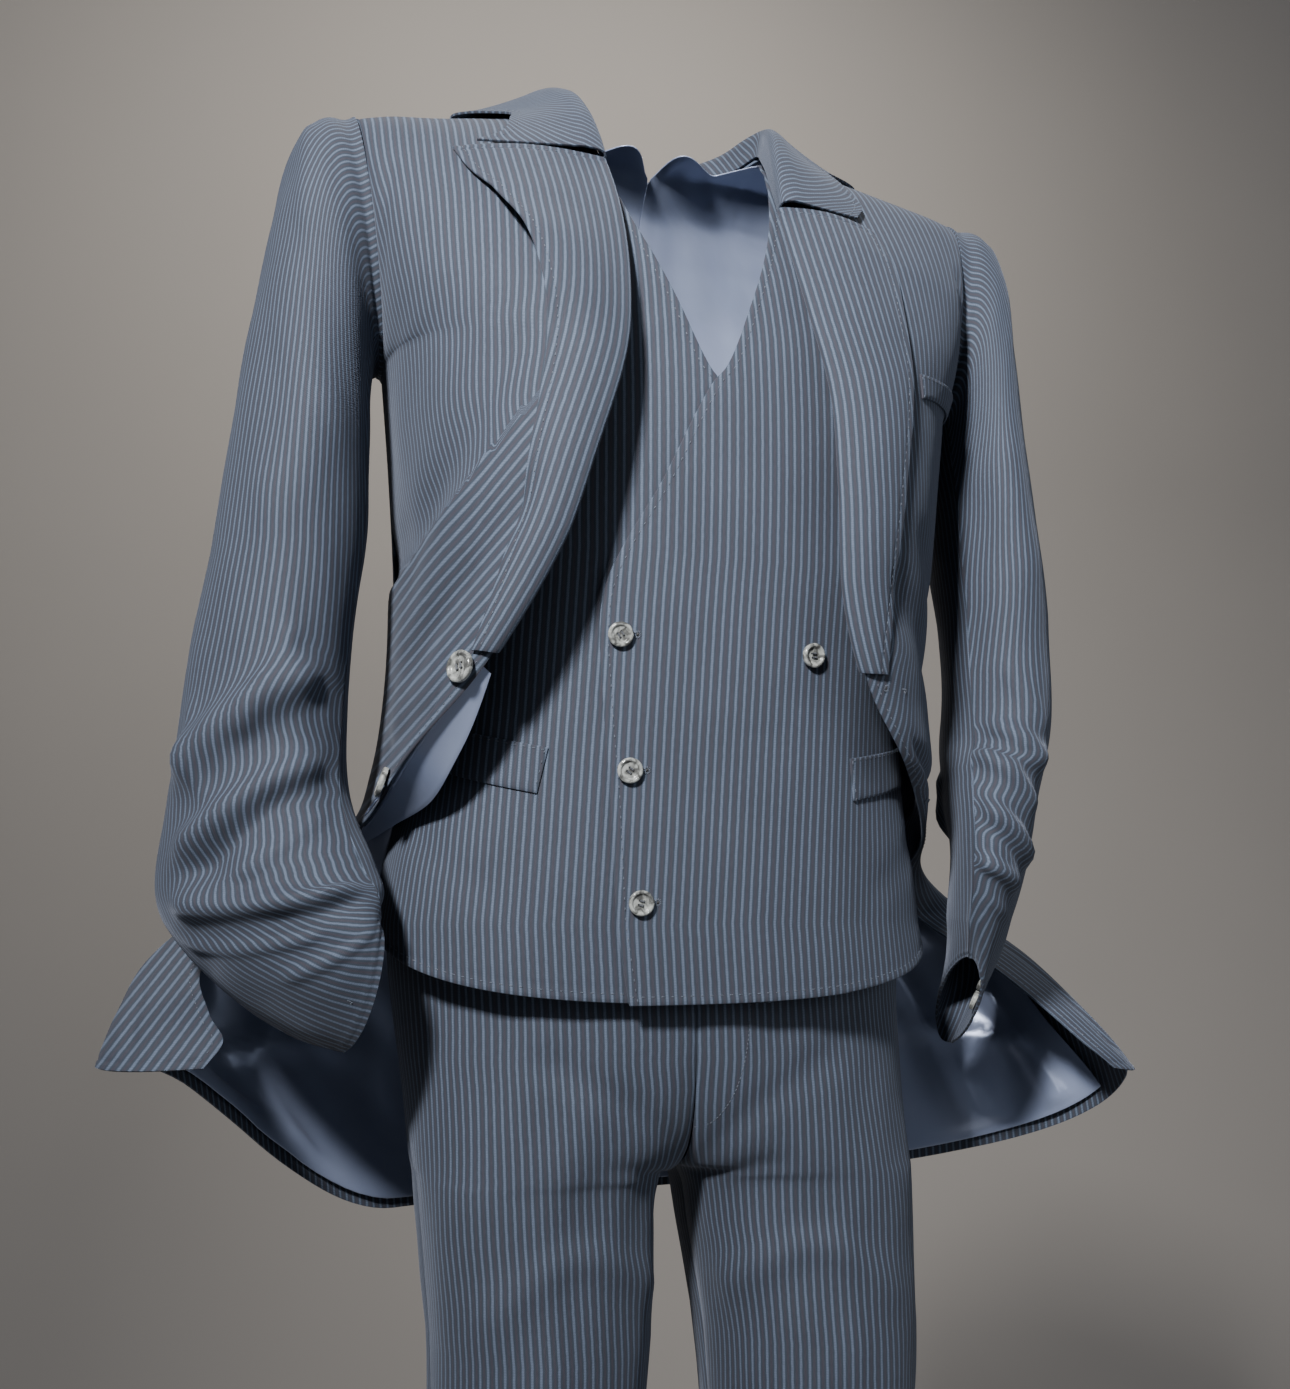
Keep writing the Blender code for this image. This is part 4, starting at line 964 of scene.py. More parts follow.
class Nodes:
    """A small helper that adds shader nodes and joins them."""

    def __init__(self, tree: bpy.types.NodeTree) -> None:
        """Keep the tree that is added to."""
        self.tree = tree

    def add(self, kind: str, **values: object) -> bpy.types.Node:
        """Add a node.

        Args:
            kind: the node's type.
            values: its settings, and its sockets as "in_" with a number or a name.

        Returns:
            The node.
        """
        node = self.tree.nodes.new(kind)
        for key, value in values.items():
            if not key.startswith("in_"):
                setattr(node, key, value)
                continue
            name = key[3:]
            socket = node.inputs[int(name)] if name.isdigit() else node.inputs[name.replace("_", " ")]
            if isinstance(value, bpy.types.NodeSocket):
                self.tree.links.new(value, socket)
            else:
                socket.default_value = value
        return node

    def math(self, operation: str, *values: object) -> bpy.types.NodeSocket:
        """Add a Math node on sockets or numbers and return its result."""
        sockets = {f"in_{i}": value for i, value in enumerate(values)}
        return self.add("ShaderNodeMath", operation=operation, **sockets).outputs[0]

    def step(self, value: object, low: float, high: float, start: float, end: float) -> bpy.types.NodeSocket:
        """Ease a value into another range.

        Args:
            value: the socket.
            low: where the easing begins.
            high: where it ends.
            start: the result up to low.
            end: the result from high.

        Returns:
            The eased socket.
        """
        made = self.add("ShaderNodeMapRange", interpolation_type="SMOOTHSTEP", in_Value=value)
        for name, number in (("From Min", low), ("From Max", high), ("To Min", start), ("To Max", end)):
            made.inputs[name].default_value = number
        return made.outputs[0]

    def mix(self, share: object, first: object, second: object, blend: str = "MIX") -> bpy.types.NodeSocket:
        """Mix two colours.

        Args:
            share: how much of the second one there is.
            first: a colour or a socket.
            second: a colour or a socket.
            blend: the way of blending.

        Returns:
            The mixed socket.
        """
        made = self.add("ShaderNodeMix", data_type="RGBA", blend_type=blend)
        for socket, value in ((made.inputs[0], share), (made.inputs[6], first), (made.inputs[7], second)):
            if isinstance(value, bpy.types.NodeSocket):
                self.tree.links.new(value, socket)
            else:
                socket.default_value = value
        return made.outputs[2]


def new_group(
    name: str, inputs: dict[str, str], outputs: dict[str, str]
) -> tuple[bpy.types.NodeTree, Nodes, bpy.types.Node, bpy.types.Node]:
    """Start a shader node group.

    Args:
        name: the group's name.
        inputs: socket names with their types.
        outputs: socket names with their types.

    Returns:
        The group, its helper, and its input and output nodes.
    """
    tree = bpy.data.node_groups.new(name, "ShaderNodeTree")
    for direction, sockets in (("INPUT", inputs), ("OUTPUT", outputs)):
        for label, kind in sockets.items():
            tree.interface.new_socket(label, in_out=direction, socket_type=f"NodeSocket{kind}")
    nodes = Nodes(tree)
    return tree, nodes, nodes.add("NodeGroupInput"), nodes.add("NodeGroupOutput")


def new_material(name: str) -> tuple[bpy.types.Material, Nodes, bpy.types.Node]:
    """Start a material.

    Args:
        name: the material's name.

    Returns:
        The material, the helper for its nodes, and its shader.
    """
    made = bpy.data.materials.new(name)
    made.use_nodes = True
    return made, Nodes(made.node_tree), made.node_tree.nodes["Principled BSDF"]


@cache
def yarn_group() -> bpy.types.NodeTree:
    """Build the group that gives cloth its twill line, its heathered yarn and its faint soiling.

    Returns:
        A group from UV in metres, pitch and unevenness to a tone and a height.
    """
    tree, n, start, end = new_group(
        "yarn", {"UV": "Vector", "Pitch": "Float", "Unevenness": "Float"}, {"Tone": "Float", "Height": "Float"}
    )
    xyz = n.add("ShaderNodeSeparateXYZ", in_0=start.outputs["UV"])
    slant = n.math("ADD", xyz.outputs[0], n.math("MULTIPLY", xyz.outputs[1], 0.8))
    line = n.math("SINE", n.math("MULTIPLY", n.math("DIVIDE", slant, start.outputs["Pitch"]), 2 * math.pi))
    streak = n.add("ShaderNodeMapping", in_Vector=start.outputs["UV"], in_Scale=(1.0, 0.16, 1.0))
    fine = n.add("ShaderNodeTexNoise", in_Vector=streak.outputs[0], in_Scale=1500.0, in_Detail=2.0)
    broad = n.add("ShaderNodeTexNoise", in_Vector=start.outputs["UV"], in_Scale=22.0, in_Detail=3.0)
    uneven = n.math("MULTIPLY", n.math("SUBTRACT", fine.outputs[0], 0.5), start.outputs["Unevenness"])
    patch = n.math("MULTIPLY", n.math("SUBTRACT", broad.outputs[0], 0.5), 0.22)
    tone = n.math("ADD", n.math("ADD", n.math("MULTIPLY", line, 0.035), uneven), patch)
    tree.links.new(n.math("ADD", tone, 1.0), end.inputs["Tone"])
    height = n.math("ADD", n.math("MULTIPLY", line, 0.5), n.math("MULTIPLY", fine.outputs[0], 0.8))
    tree.links.new(height, end.inputs["Height"])
    return tree


@cache
def stripe_group() -> bpy.types.NodeTree:
    """Build the group that gives the pinstripes and the faint band between them.

    Returns:
        A group from UV in metres and the stripes' distance to two masks.
    """
    tree, n, start, end = new_group(
        "pinstripes", {"UV": "Vector", "Apart": "Float"}, {"Stripe": "Float", "Band": "Float"}
    )
    xyz = n.add("ShaderNodeSeparateXYZ", in_0=start.outputs["UV"])
    waver = n.add("ShaderNodeTexNoise", in_Vector=start.outputs["UV"], in_Scale=160.0, in_Detail=1.0)
    wavering = n.math("MULTIPLY", n.math("SUBTRACT", waver.outputs[0], 0.5), 0.0005)
    across = n.math("ADD", xyz.outputs[0], wavering)
    off = n.math("PINGPONG", across, n.math("MULTIPLY", start.outputs["Apart"], 0.5))
    dots = n.math("SINE", n.math("MULTIPLY", xyz.outputs[1], 2 * math.pi / 0.0016))
    dotted = n.math("ADD", 0.86, n.math("MULTIPLY", dots, 0.14))
    tree.links.new(n.math("MULTIPLY", n.step(off, 0.00035, 0.00125, 1.0, 0.0), dotted), end.inputs["Stripe"])
    beside = n.math("ABSOLUTE", n.math("SUBTRACT", off, n.math("MULTIPLY", start.outputs["Apart"], 0.5)))
    tree.links.new(n.step(beside, 0.0003, 0.0014, 1.0, 0.0), end.inputs["Band"])
    return tree


@dataclass(frozen=True)
class Worsted:
    """The suiting: a slate worsted with a light pinstripe and a faint warm band between stripes."""

    name: str = "suiting"
    ground: tuple[float, float, float] = (0.028, 0.037, 0.051)
    stripe: tuple[float, float, float] = (0.118, 0.148, 0.208)
    band: tuple[float, float, float] = (0.040, 0.037, 0.048)
    stripes_apart: float = 0.0056
    twill_pitch: float = 0.0011
    roughness: float = 0.78
    sheen: float = 0.10

    @cache
    def build(self) -> bpy.types.Material:
        """Make the material, once.

        Returns:
            The material.
        """
        made, n, shader = new_material(f"{self.name}_cloth")
        uv = n.add("ShaderNodeUVMap", uv_map="cloth").outputs[0]
        yarn = n.add(
            "ShaderNodeGroup", node_tree=yarn_group(), in_UV=uv, in_Pitch=self.twill_pitch, in_Unevenness=0.5
        )
        lines = n.add("ShaderNodeGroup", node_tree=stripe_group(), in_UV=uv, in_Apart=self.stripes_apart)
        colour = n.mix(n.math("MULTIPLY", lines.outputs["Band"], 0.8), (*self.ground, 1), (*self.band, 1))
        colour = n.mix(n.math("MULTIPLY", lines.outputs["Stripe"], 0.70), colour, (*self.stripe, 1))
        tone = yarn.outputs["Tone"]
        grey = n.add("ShaderNodeCombineColor", in_0=tone, in_1=tone, in_2=tone)
        colour = n.mix(1.0, colour, grey.outputs[0], "MULTIPLY")
        height = n.math("ADD", yarn.outputs["Height"], n.math("MULTIPLY", lines.outputs["Stripe"], 0.7))
        bump = n.add("ShaderNodeBump", in_Height=height, in_Strength=0.35, in_Distance=0.00025)
        made.node_tree.links.new(colour, shader.inputs["Base Color"])
        made.node_tree.links.new(bump.outputs[0], shader.inputs["Normal"])
        shader.inputs["Roughness"].default_value = self.roughness
        shader.inputs["Specular IOR Level"].default_value = 0.25
        shader.inputs["Sheen Weight"].default_value = self.sheen
        shader.inputs["Sheen Roughness"].default_value = 0.45
        shader.inputs["Sheen Tint"].default_value = (0.75, 0.82, 1.0, 1)
        return made


@dataclass(frozen=True)
class Satin:
    """The lining: a glossy blue-grey satin."""

    name: str = "satin_lining"
    ground: tuple[float, float, float] = (0.210, 0.250, 0.370)
    pale: tuple[float, float, float] = (0.290, 0.335, 0.460)
    roughness: float = 0.30

    @cache
    def build(self) -> bpy.types.Material:
        """Make the material, once.

        Returns:
            The material.
        """
        made, n, shader = new_material(f"{self.name}_cloth")
        uv = n.add("ShaderNodeUVMap", uv_map="cloth").outputs[0]
        yarn = n.add("ShaderNodeGroup", node_tree=yarn_group(), in_UV=uv, in_Pitch=0.0007, in_Unevenness=0.25)
        broad = n.add("ShaderNodeTexNoise", in_Vector=uv, in_Scale=30.0, in_Detail=2.0)
        share = n.math("MULTIPLY", n.step(broad.outputs[0], 0.2, 0.8, 0.3, 0.7), yarn.outputs["Tone"])
        colour = n.mix(share, (*self.ground, 1), (*self.pale, 1))
        bump = n.add("ShaderNodeBump", in_Height=yarn.outputs["Height"], in_Strength=0.12, in_Distance=0.0001)
        made.node_tree.links.new(colour, shader.inputs["Base Color"])
        made.node_tree.links.new(bump.outputs[0], shader.inputs["Normal"])
        shader.inputs["Roughness"].default_value = self.roughness
        shader.inputs["Specular IOR Level"].default_value = 0.65
        shader.inputs["Sheen Weight"].default_value = 0.15
        shader.inputs["Sheen Roughness"].default_value = 0.3
        shader.inputs["Anisotropic"].default_value = 0.4
        shader.inputs["Metallic"].default_value = 0.35
        return made


@dataclass(frozen=True)
class Horn:
    """The buttons: polished grey horn with darker clouds."""

    name: str = "horn_button"
    dark: tuple[float, float, float] = (0.060, 0.060, 0.056)
    pale: tuple[float, float, float] = (0.30, 0.31, 0.29)

    @cache
    def build(self) -> bpy.types.Material:
        """Make the material, once.

        Returns:
            The material.
        """
        made, n, shader = new_material(f"{self.name}_polish")
        place = n.add("ShaderNodeTexCoord").outputs["Object"]
        cloud = n.add("ShaderNodeTexNoise", in_Vector=place, in_Scale=170.0, in_Detail=4.0, in_Distortion=0.8)
        streak = n.add("ShaderNodeTexNoise", in_Vector=place, in_Scale=900.0, in_Detail=2.0)
        clouded = n.math("ADD", cloud.outputs[0], n.math("MULTIPLY", streak.outputs[0], 0.15))
        share = n.step(clouded, 0.42, 0.70, 0.0, 1.0)
        colour = n.mix(share, (*self.dark, 1), (*self.pale, 1))
        rough = n.step(streak.outputs[0], 0.3, 0.8, 0.10, 0.24)
        made.node_tree.links.new(colour, shader.inputs["Base Color"])
        made.node_tree.links.new(rough, shader.inputs["Roughness"])
        shader.inputs["Coat Weight"].default_value = 0.6
        shader.inputs["Coat Roughness"].default_value = 0.06
        return made


@dataclass(frozen=True)
class Thread:
    """Sewing thread of one colour; also the near-black painted shade inside buttonholes."""

    name: str
    colour: tuple[float, float, float]

    @cache
    def build(self) -> bpy.types.Material:
        """Make the material, once.

        Returns:
            The material.
        """
        made, n, shader = new_material(self.name)
        place = n.add("ShaderNodeTexCoord").outputs["Object"]
        twist = n.add("ShaderNodeTexNoise", in_Vector=place, in_Scale=2200.0, in_Detail=1.0)
        dark = tuple(c * 0.6 for c in self.colour)
        colour = n.mix(twist.outputs[0], (*dark, 1), (*self.colour, 1))
        made.node_tree.links.new(colour, shader.inputs["Base Color"])
        shader.inputs["Roughness"].default_value = 0.6
        shader.inputs["Sheen Weight"].default_value = 0.2
        return made


SUITING, SATIN, HORN = Worsted(), Satin(), Horn()
STITCH = Thread("pick_stitch_thread", (0.075, 0.090, 0.120))
BUTTON_THREAD = Thread("button_thread", (0.06, 0.065, 0.075))
# The buttonhole's near-black fill is painted shade in its opening, not thread or cloth.
SLIT_SHADE = Thread("buttonhole_gap", (0.008, 0.008, 0.010))
Finish = Worsted | Satin | Horn | Thread


def deselect_all() -> None:
    """Leave nothing selected or active, before a new piece is made."""
    for other in bpy.context.view_layer.objects:
        other.select_set(False)
    bpy.context.view_layer.objects.active = None


def select_only(target: bpy.types.Object) -> None:
    """Make an object the only one that operators act on.

    Args:
        target: the object.
    """
    deselect_all()
    target.select_set(True)
    bpy.context.view_layer.objects.active = target


def apply_modifiers(target: bpy.types.Object) -> None:
    """Apply an object's modifiers in their order."""
    select_only(target)
    for modifier in list(target.modifiers):
        bpy.ops.object.modifier_apply(modifier=modifier.name)


def keep(target: bpy.types.Object, finish_slot: str, nodes: Sequence[str] = ()) -> bpy.types.Object:
    """Tie a finished piece to the suit.

    Args:
        target: the piece.
        finish_slot: not used.
        nodes: the solids that it stands for.

    Returns:
        The piece.
    """
    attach(target, "root")
    if nodes:
        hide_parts(*nodes)
    LOG.info("%s: %d faces", target.name, len(target.data.polygons))
    return target


@dataclass
class Piece:
    """One cut piece of cloth: where it lies, its grain, its folds, its seams and its stitched edges."""

    name: str
    surface: Surface
    s: Array
    t: Array
    turn: int
    finish: Finish
    thickness: float = 0.0018
    lift: Array | float = 0.0
    creases: str = ""
    size: tuple[float, float] = (0.28, 0.065)
    uneven: float = 0.0006
    seed: int = 1
    grain: str = "start"
    grain_offset: Array | float = 0.0
    seams: tuple[str, ...] = ()
    dressed: tuple[str, ...] = ()
    inside: Finish | None = None
    held: str = "draped"
    rests_on: tuple[str, ...] = ()
    points: Array = field(default_factory=lambda: np.zeros((0, 0, 3)))
    normals: Array = field(default_factory=lambda: np.zeros((0, 0, 3)))
    cut: tuple[float, float, float] = (0.0, 0.0, 0.0)

    def edges(self, points: Array) -> dict[str, Array]:
        """Return each point's distance from the four edges."""
        across, down = lengths(points, 1), lengths(points, 0)
        return {"start": across, "end": across[:, -1:] - across, "top": down, "foot": down[-1:] - down}

    def shape(self) -> None:
        """Work out the outer face: surface, folds, unevenness, seams pulled in and edges rolled."""
        s, t = np.broadcast_arrays(self.s, self.t)
        points = self.surface(s, t)
        normals = grid_normals(points, self.turn)
        far = self.edges(points)
        quiet = np.ones(s.shape)
        for edge in (*self.seams, *self.dressed):
            quiet = quiet * smooth(far[edge] / QUIET_WIDTH)
        depth = fold_depth(CREASES[self.creases], self.size, s, t) if self.creases else 0.0
        raised = np.broadcast_to(self.lift, s.shape) - depth * quiet
        raised = raised + self.uneven * ripple(far["end"], far["top"], self.seed) * quiet
        for edge in self.seams:
            raised = raised - SEAM_DEPTH * swell(far[edge], SEAM_HALF_WIDTH)
        for edge in self.dressed:
            raised = raised - STITCHED_DEPTH * swell(far[edge] - STITCHED_INSET, STITCHED_HALF_WIDTH)
            raised = raised + ROLLED_HEIGHT * swell(far[edge] - ROLLED_INSET, ROLLED_HALF_WIDTH)
        self.points = points + normals * raised[..., None]
        self.normals = grid_normals(self.points, self.turn)

    def cloth_map(self) -> tuple[Array, Array]:
        """Measure the cloth along its grain.

        Returns:
            Metres of cloth across and down for each point.
        """
        across, down = lengths(self.points, 1), lengths(self.points, 0)
        middle = across.shape[1] // 2
        origins = {"start": across[:, :1], "middle": across[:, middle, None], "end": across[:, -1:]}
        down = np.broadcast_to(down[:, middle, None], across.shape)
        return across - origins[self.grain] + self.grain_offset, down

    def build(self, node: str | None = None) -> bpy.types.Object:
        """Make the shell, its cloth map and its edges.

        Args:
            node: the solid that it stands for, or None for the one with its own name.

        Returns:
            The piece.
        """
        if not self.points.size:
            self.shape()
        rows, columns = self.points.shape[:2]
        deselect_all()
        bpy.ops.mesh.primitive_grid_add(x_subdivisions=columns - 1, y_subdivisions=rows - 1, size=1)
        made = bpy.context.active_object
        made.name = made.data.name = self.name
        mesh = made.data
        flat = np.empty(len(mesh.vertices) * 3)
        mesh.vertices.foreach_get("co", flat)
        flat = flat.reshape(-1, 3)
        column = np.rint((flat[:, 0] + 0.5) * (columns - 1)).astype(int)
        row = np.rint((flat[:, 1] + 0.5) * (rows - 1)).astype(int)
        placed = stance(self.points)[row, column]
        mesh.vertices.foreach_set("co", placed.ravel())
        u, v = self.cloth_map()
        corners = np.empty(len(mesh.loops), int)
        mesh.loops.foreach_get("vertex_index", corners)
        layer = mesh.uv_layers.active or mesh.uv_layers.new()
        layer.name = "cloth"
        both = np.stack([u[row, column], v[row, column]], axis=1)[corners]
        layer.data.foreach_set("uv", both.ravel())
        if self.turn < 0:
            mesh.flip_normals()
        mesh.update()
        mesh.materials.append(self.finish.build())
        mesh.materials.append((self.inside or self.finish).build())
        steps_u, steps_v = np.diff(lengths(self.points, 1), axis=1), np.diff(lengths(self.points, 0), axis=0)
        area = float(np.sum(steps_u[:-1] * steps_v[:, :-1]))
        width, length = float(steps_u.sum(axis=1).max()), float(steps_v.sum(axis=0).max())
        self.cut = (math.ceil(width * 1000) / 1000, math.ceil(length * 1000) / 1000, round(area, 4))
        shell = made.modifiers.new("cloth thickness", "SOLIDIFY")
        shell.thickness, shell.offset, shell.material_offset = self.thickness, -1.0, 1
        shell.use_even_offset = False
        rounded = made.modifiers.new("folded edge", "BEVEL")
        rounded.width, rounded.segments = 0.0005, 2
        rounded.limit_method, rounded.angle_limit = "ANGLE", math.radians(55)
        apply_modifiers(made)
        bpy.ops.object.shade_smooth_by_angle(angle=math.radians(50))
        list(self.rests_on)
        min(self.cut[2], self.cut[0] * self.cut[1])
        return keep(made, self.finish.name, [node or self.name])

    def line(self, edge: str, inset: float, low: float = 0.0, high: float = 1.0) -> tuple[Array, Array]:
        """Follow a line beside an edge.

        Args:
            edge: start, end, top or foot.
            inset: metres from the edge.
            low: where it begins, as a share of the edge.
            high: where it ends.

        Returns:
            Points and normals along it, in the straight suit.
        """
        axis = 1 if edge in ("start", "end") else 0
        far = self.edges(self.points)[edge]
        points, normals, far = (np.moveaxis(x, axis, 0) for x in (self.points, self.normals, far))
        if edge in ("end", "foot"):
            points, normals, far = points[::-1], normals[::-1], far[::-1]
        count = points.shape[1]
        found = []
        for j in range(int(low * (count - 1)), int(round(high * (count - 1))) + 1):
            k = min(int(np.searchsorted(far[:, j], inset)), len(far) - 1)
            k = max(k, 1)
            share = (inset - far[k - 1, j]) / max(far[k, j] - far[k - 1, j], 1e-9)
            share = min(max(share, 0.0), 1.0)
            found.append(
                np.concatenate([points[k - 1, j] * (1 - share) + points[k, j] * share, normals[k, j]])
            )
        found = np.array(found)
        return found[:, :3], unit(found[:, 3:])


def beads(
    name: str,
    at: Array,
    along: Array,
    out: Array,
    size: tuple[float, float, float],
    finish: Thread,
    sink: float = 0.3,
) -> bpy.types.Object:
    """Make a run of short stitches as one piece.

    Args:
        name: the piece's name.
        at: where each stitch lies, in the straight suit.
        along: which way each runs.
        out: the cloth's normal at each.
        size: half its length, half its width and half its height.
        finish: its thread.
        sink: the share of its height that lies in the cloth.

    Returns:
        The piece.
    """
    deselect_all()
    bpy.ops.mesh.primitive_ico_sphere_add(subdivisions=1, radius=1.0)
    made = bpy.context.active_object
    made.name = made.data.name = name
    base = np.array([v.co[:] for v in made.data.vertices])
    faces = np.array([p.vertices[:] for p in made.data.polygons])
    along, out = unit(along), unit(out)
    beside = np.cross(out, along)
    local = base * np.array(size)
    points = at[:, None] + out[:, None] * size[2] * (1 - 2 * sink)
    for k, way in enumerate((along, beside, out)):
        points = points + way[:, None] * local[None, :, k : k + 1]
    number = np.arange(len(at))[:, None, None] * len(base)
    mesh = bpy.data.meshes.new(name)
    corners = (faces[None] + number).reshape(-1, 3)
    mesh.from_pydata(stance(points).reshape(-1, 3).tolist(), [], corners.tolist())
    old, made.data = made.data, mesh
    bpy.data.meshes.remove(old)
    mesh.shade_smooth()
    mesh.materials.append(finish.build())
    return keep(made, "suiting")


def spaced(points: Array, normals: Array, step: float, stand: float = 0.0) -> tuple[Array, Array, Array]:
    """Find even places along a line.

    Args:
        points: the line.
        normals: the cloth's normals along it.
        step: metres between places.
        stand: how far off the cloth they are.

    Returns:
        Places, directions along the line, and normals.
    """
    run = np.concatenate([[0], np.cumsum(np.linalg.norm(np.diff(points, axis=0), axis=1))])
    at = np.arange(step / 2, run[-1], step)
    placed = np.stack([np.interp(at, run, points[:, k]) for k in range(3)], axis=1)
    out = unit(np.stack([np.interp(at, run, normals[:, k]) for k in range(3)], axis=1))
    ahead = np.stack([np.interp(at + step * 0.3, run, points[:, k]) for k in range(3)], axis=1)
    behind = np.stack([np.interp(at - step * 0.3, run, points[:, k]) for k in range(3)], axis=1)
    return placed + out * stand, unit(ahead - behind), out


def pick_stitches(name: str, lines: Sequence[tuple[Array, Array]]) -> bpy.types.Object:
    """Sew rows of pick stitches as one piece.

    Args:
        name: the piece's name.
        lines: the points and the normals of each row's line on the cloth.

    Returns:
        The piece.
    """
    parts = [spaced(points, normals, PICK_STEP) for points, normals in lines]
    at, along, out = (np.concatenate([part[k] for part in parts]) for k in range(3))
    return beads(name, at, along, out, PICK_STITCH, STITCH)


def buttonhole(name: str, at: Array, across: Array, out: Array, length: float = 0.019) -> None:
    """Sew a keyhole buttonhole: two close rows of stitches round a gap with a round end, the gap filled with
    near-black beads of painted shade.

    Args:
        name: the name of the pieces.
        at: its round end's place, in the straight suit.
        across: which way it runs from there.
        out: the cloth's normal.
        length: how long it is.
    """
    across, out = unit(across), unit(out)
    beside = np.cross(out, across)
    run = np.arange(HOLE_START, length, HOLE_STEP)
    rows = [at + across * r + beside * k * HOLE_BESIDE for k in (-1, 1) for r in run]
    turns = [beside * k for k in (-1, 1) for _ in run]
    for angle in np.linspace(HOLE_EYE_OPENING, 2 * math.pi - HOLE_EYE_OPENING, HOLE_EYE_STITCHES):
        spoke = across * math.cos(angle) + beside * math.sin(angle)
        rows.append(at + spoke * HOLE_EYE)
        turns.append(spoke)
    rows.append(at + across * length)
    turns.append(beside)
    outs = np.tile(out, (len(rows), 1))
    beads(f"{name}_stitches", np.array(rows), np.array(turns), outs, HOLE_STITCH, STITCH)
    # Near-black beads in the round end and along the cut: painted shade in the opening.
    beads(f"{name}_gap", at[None], across[None], out[None], HOLE_EYE_SHADE_SIZE, SLIT_SHADE, HOLE_SINK)
    middle = at + across * (length * 0.52)
    beads(f"{name}_cut", middle[None], across[None], out[None], (length * 0.46, *HOLE_CUT_SHADE_SIZE), SLIT_SHADE, HOLE_SINK)


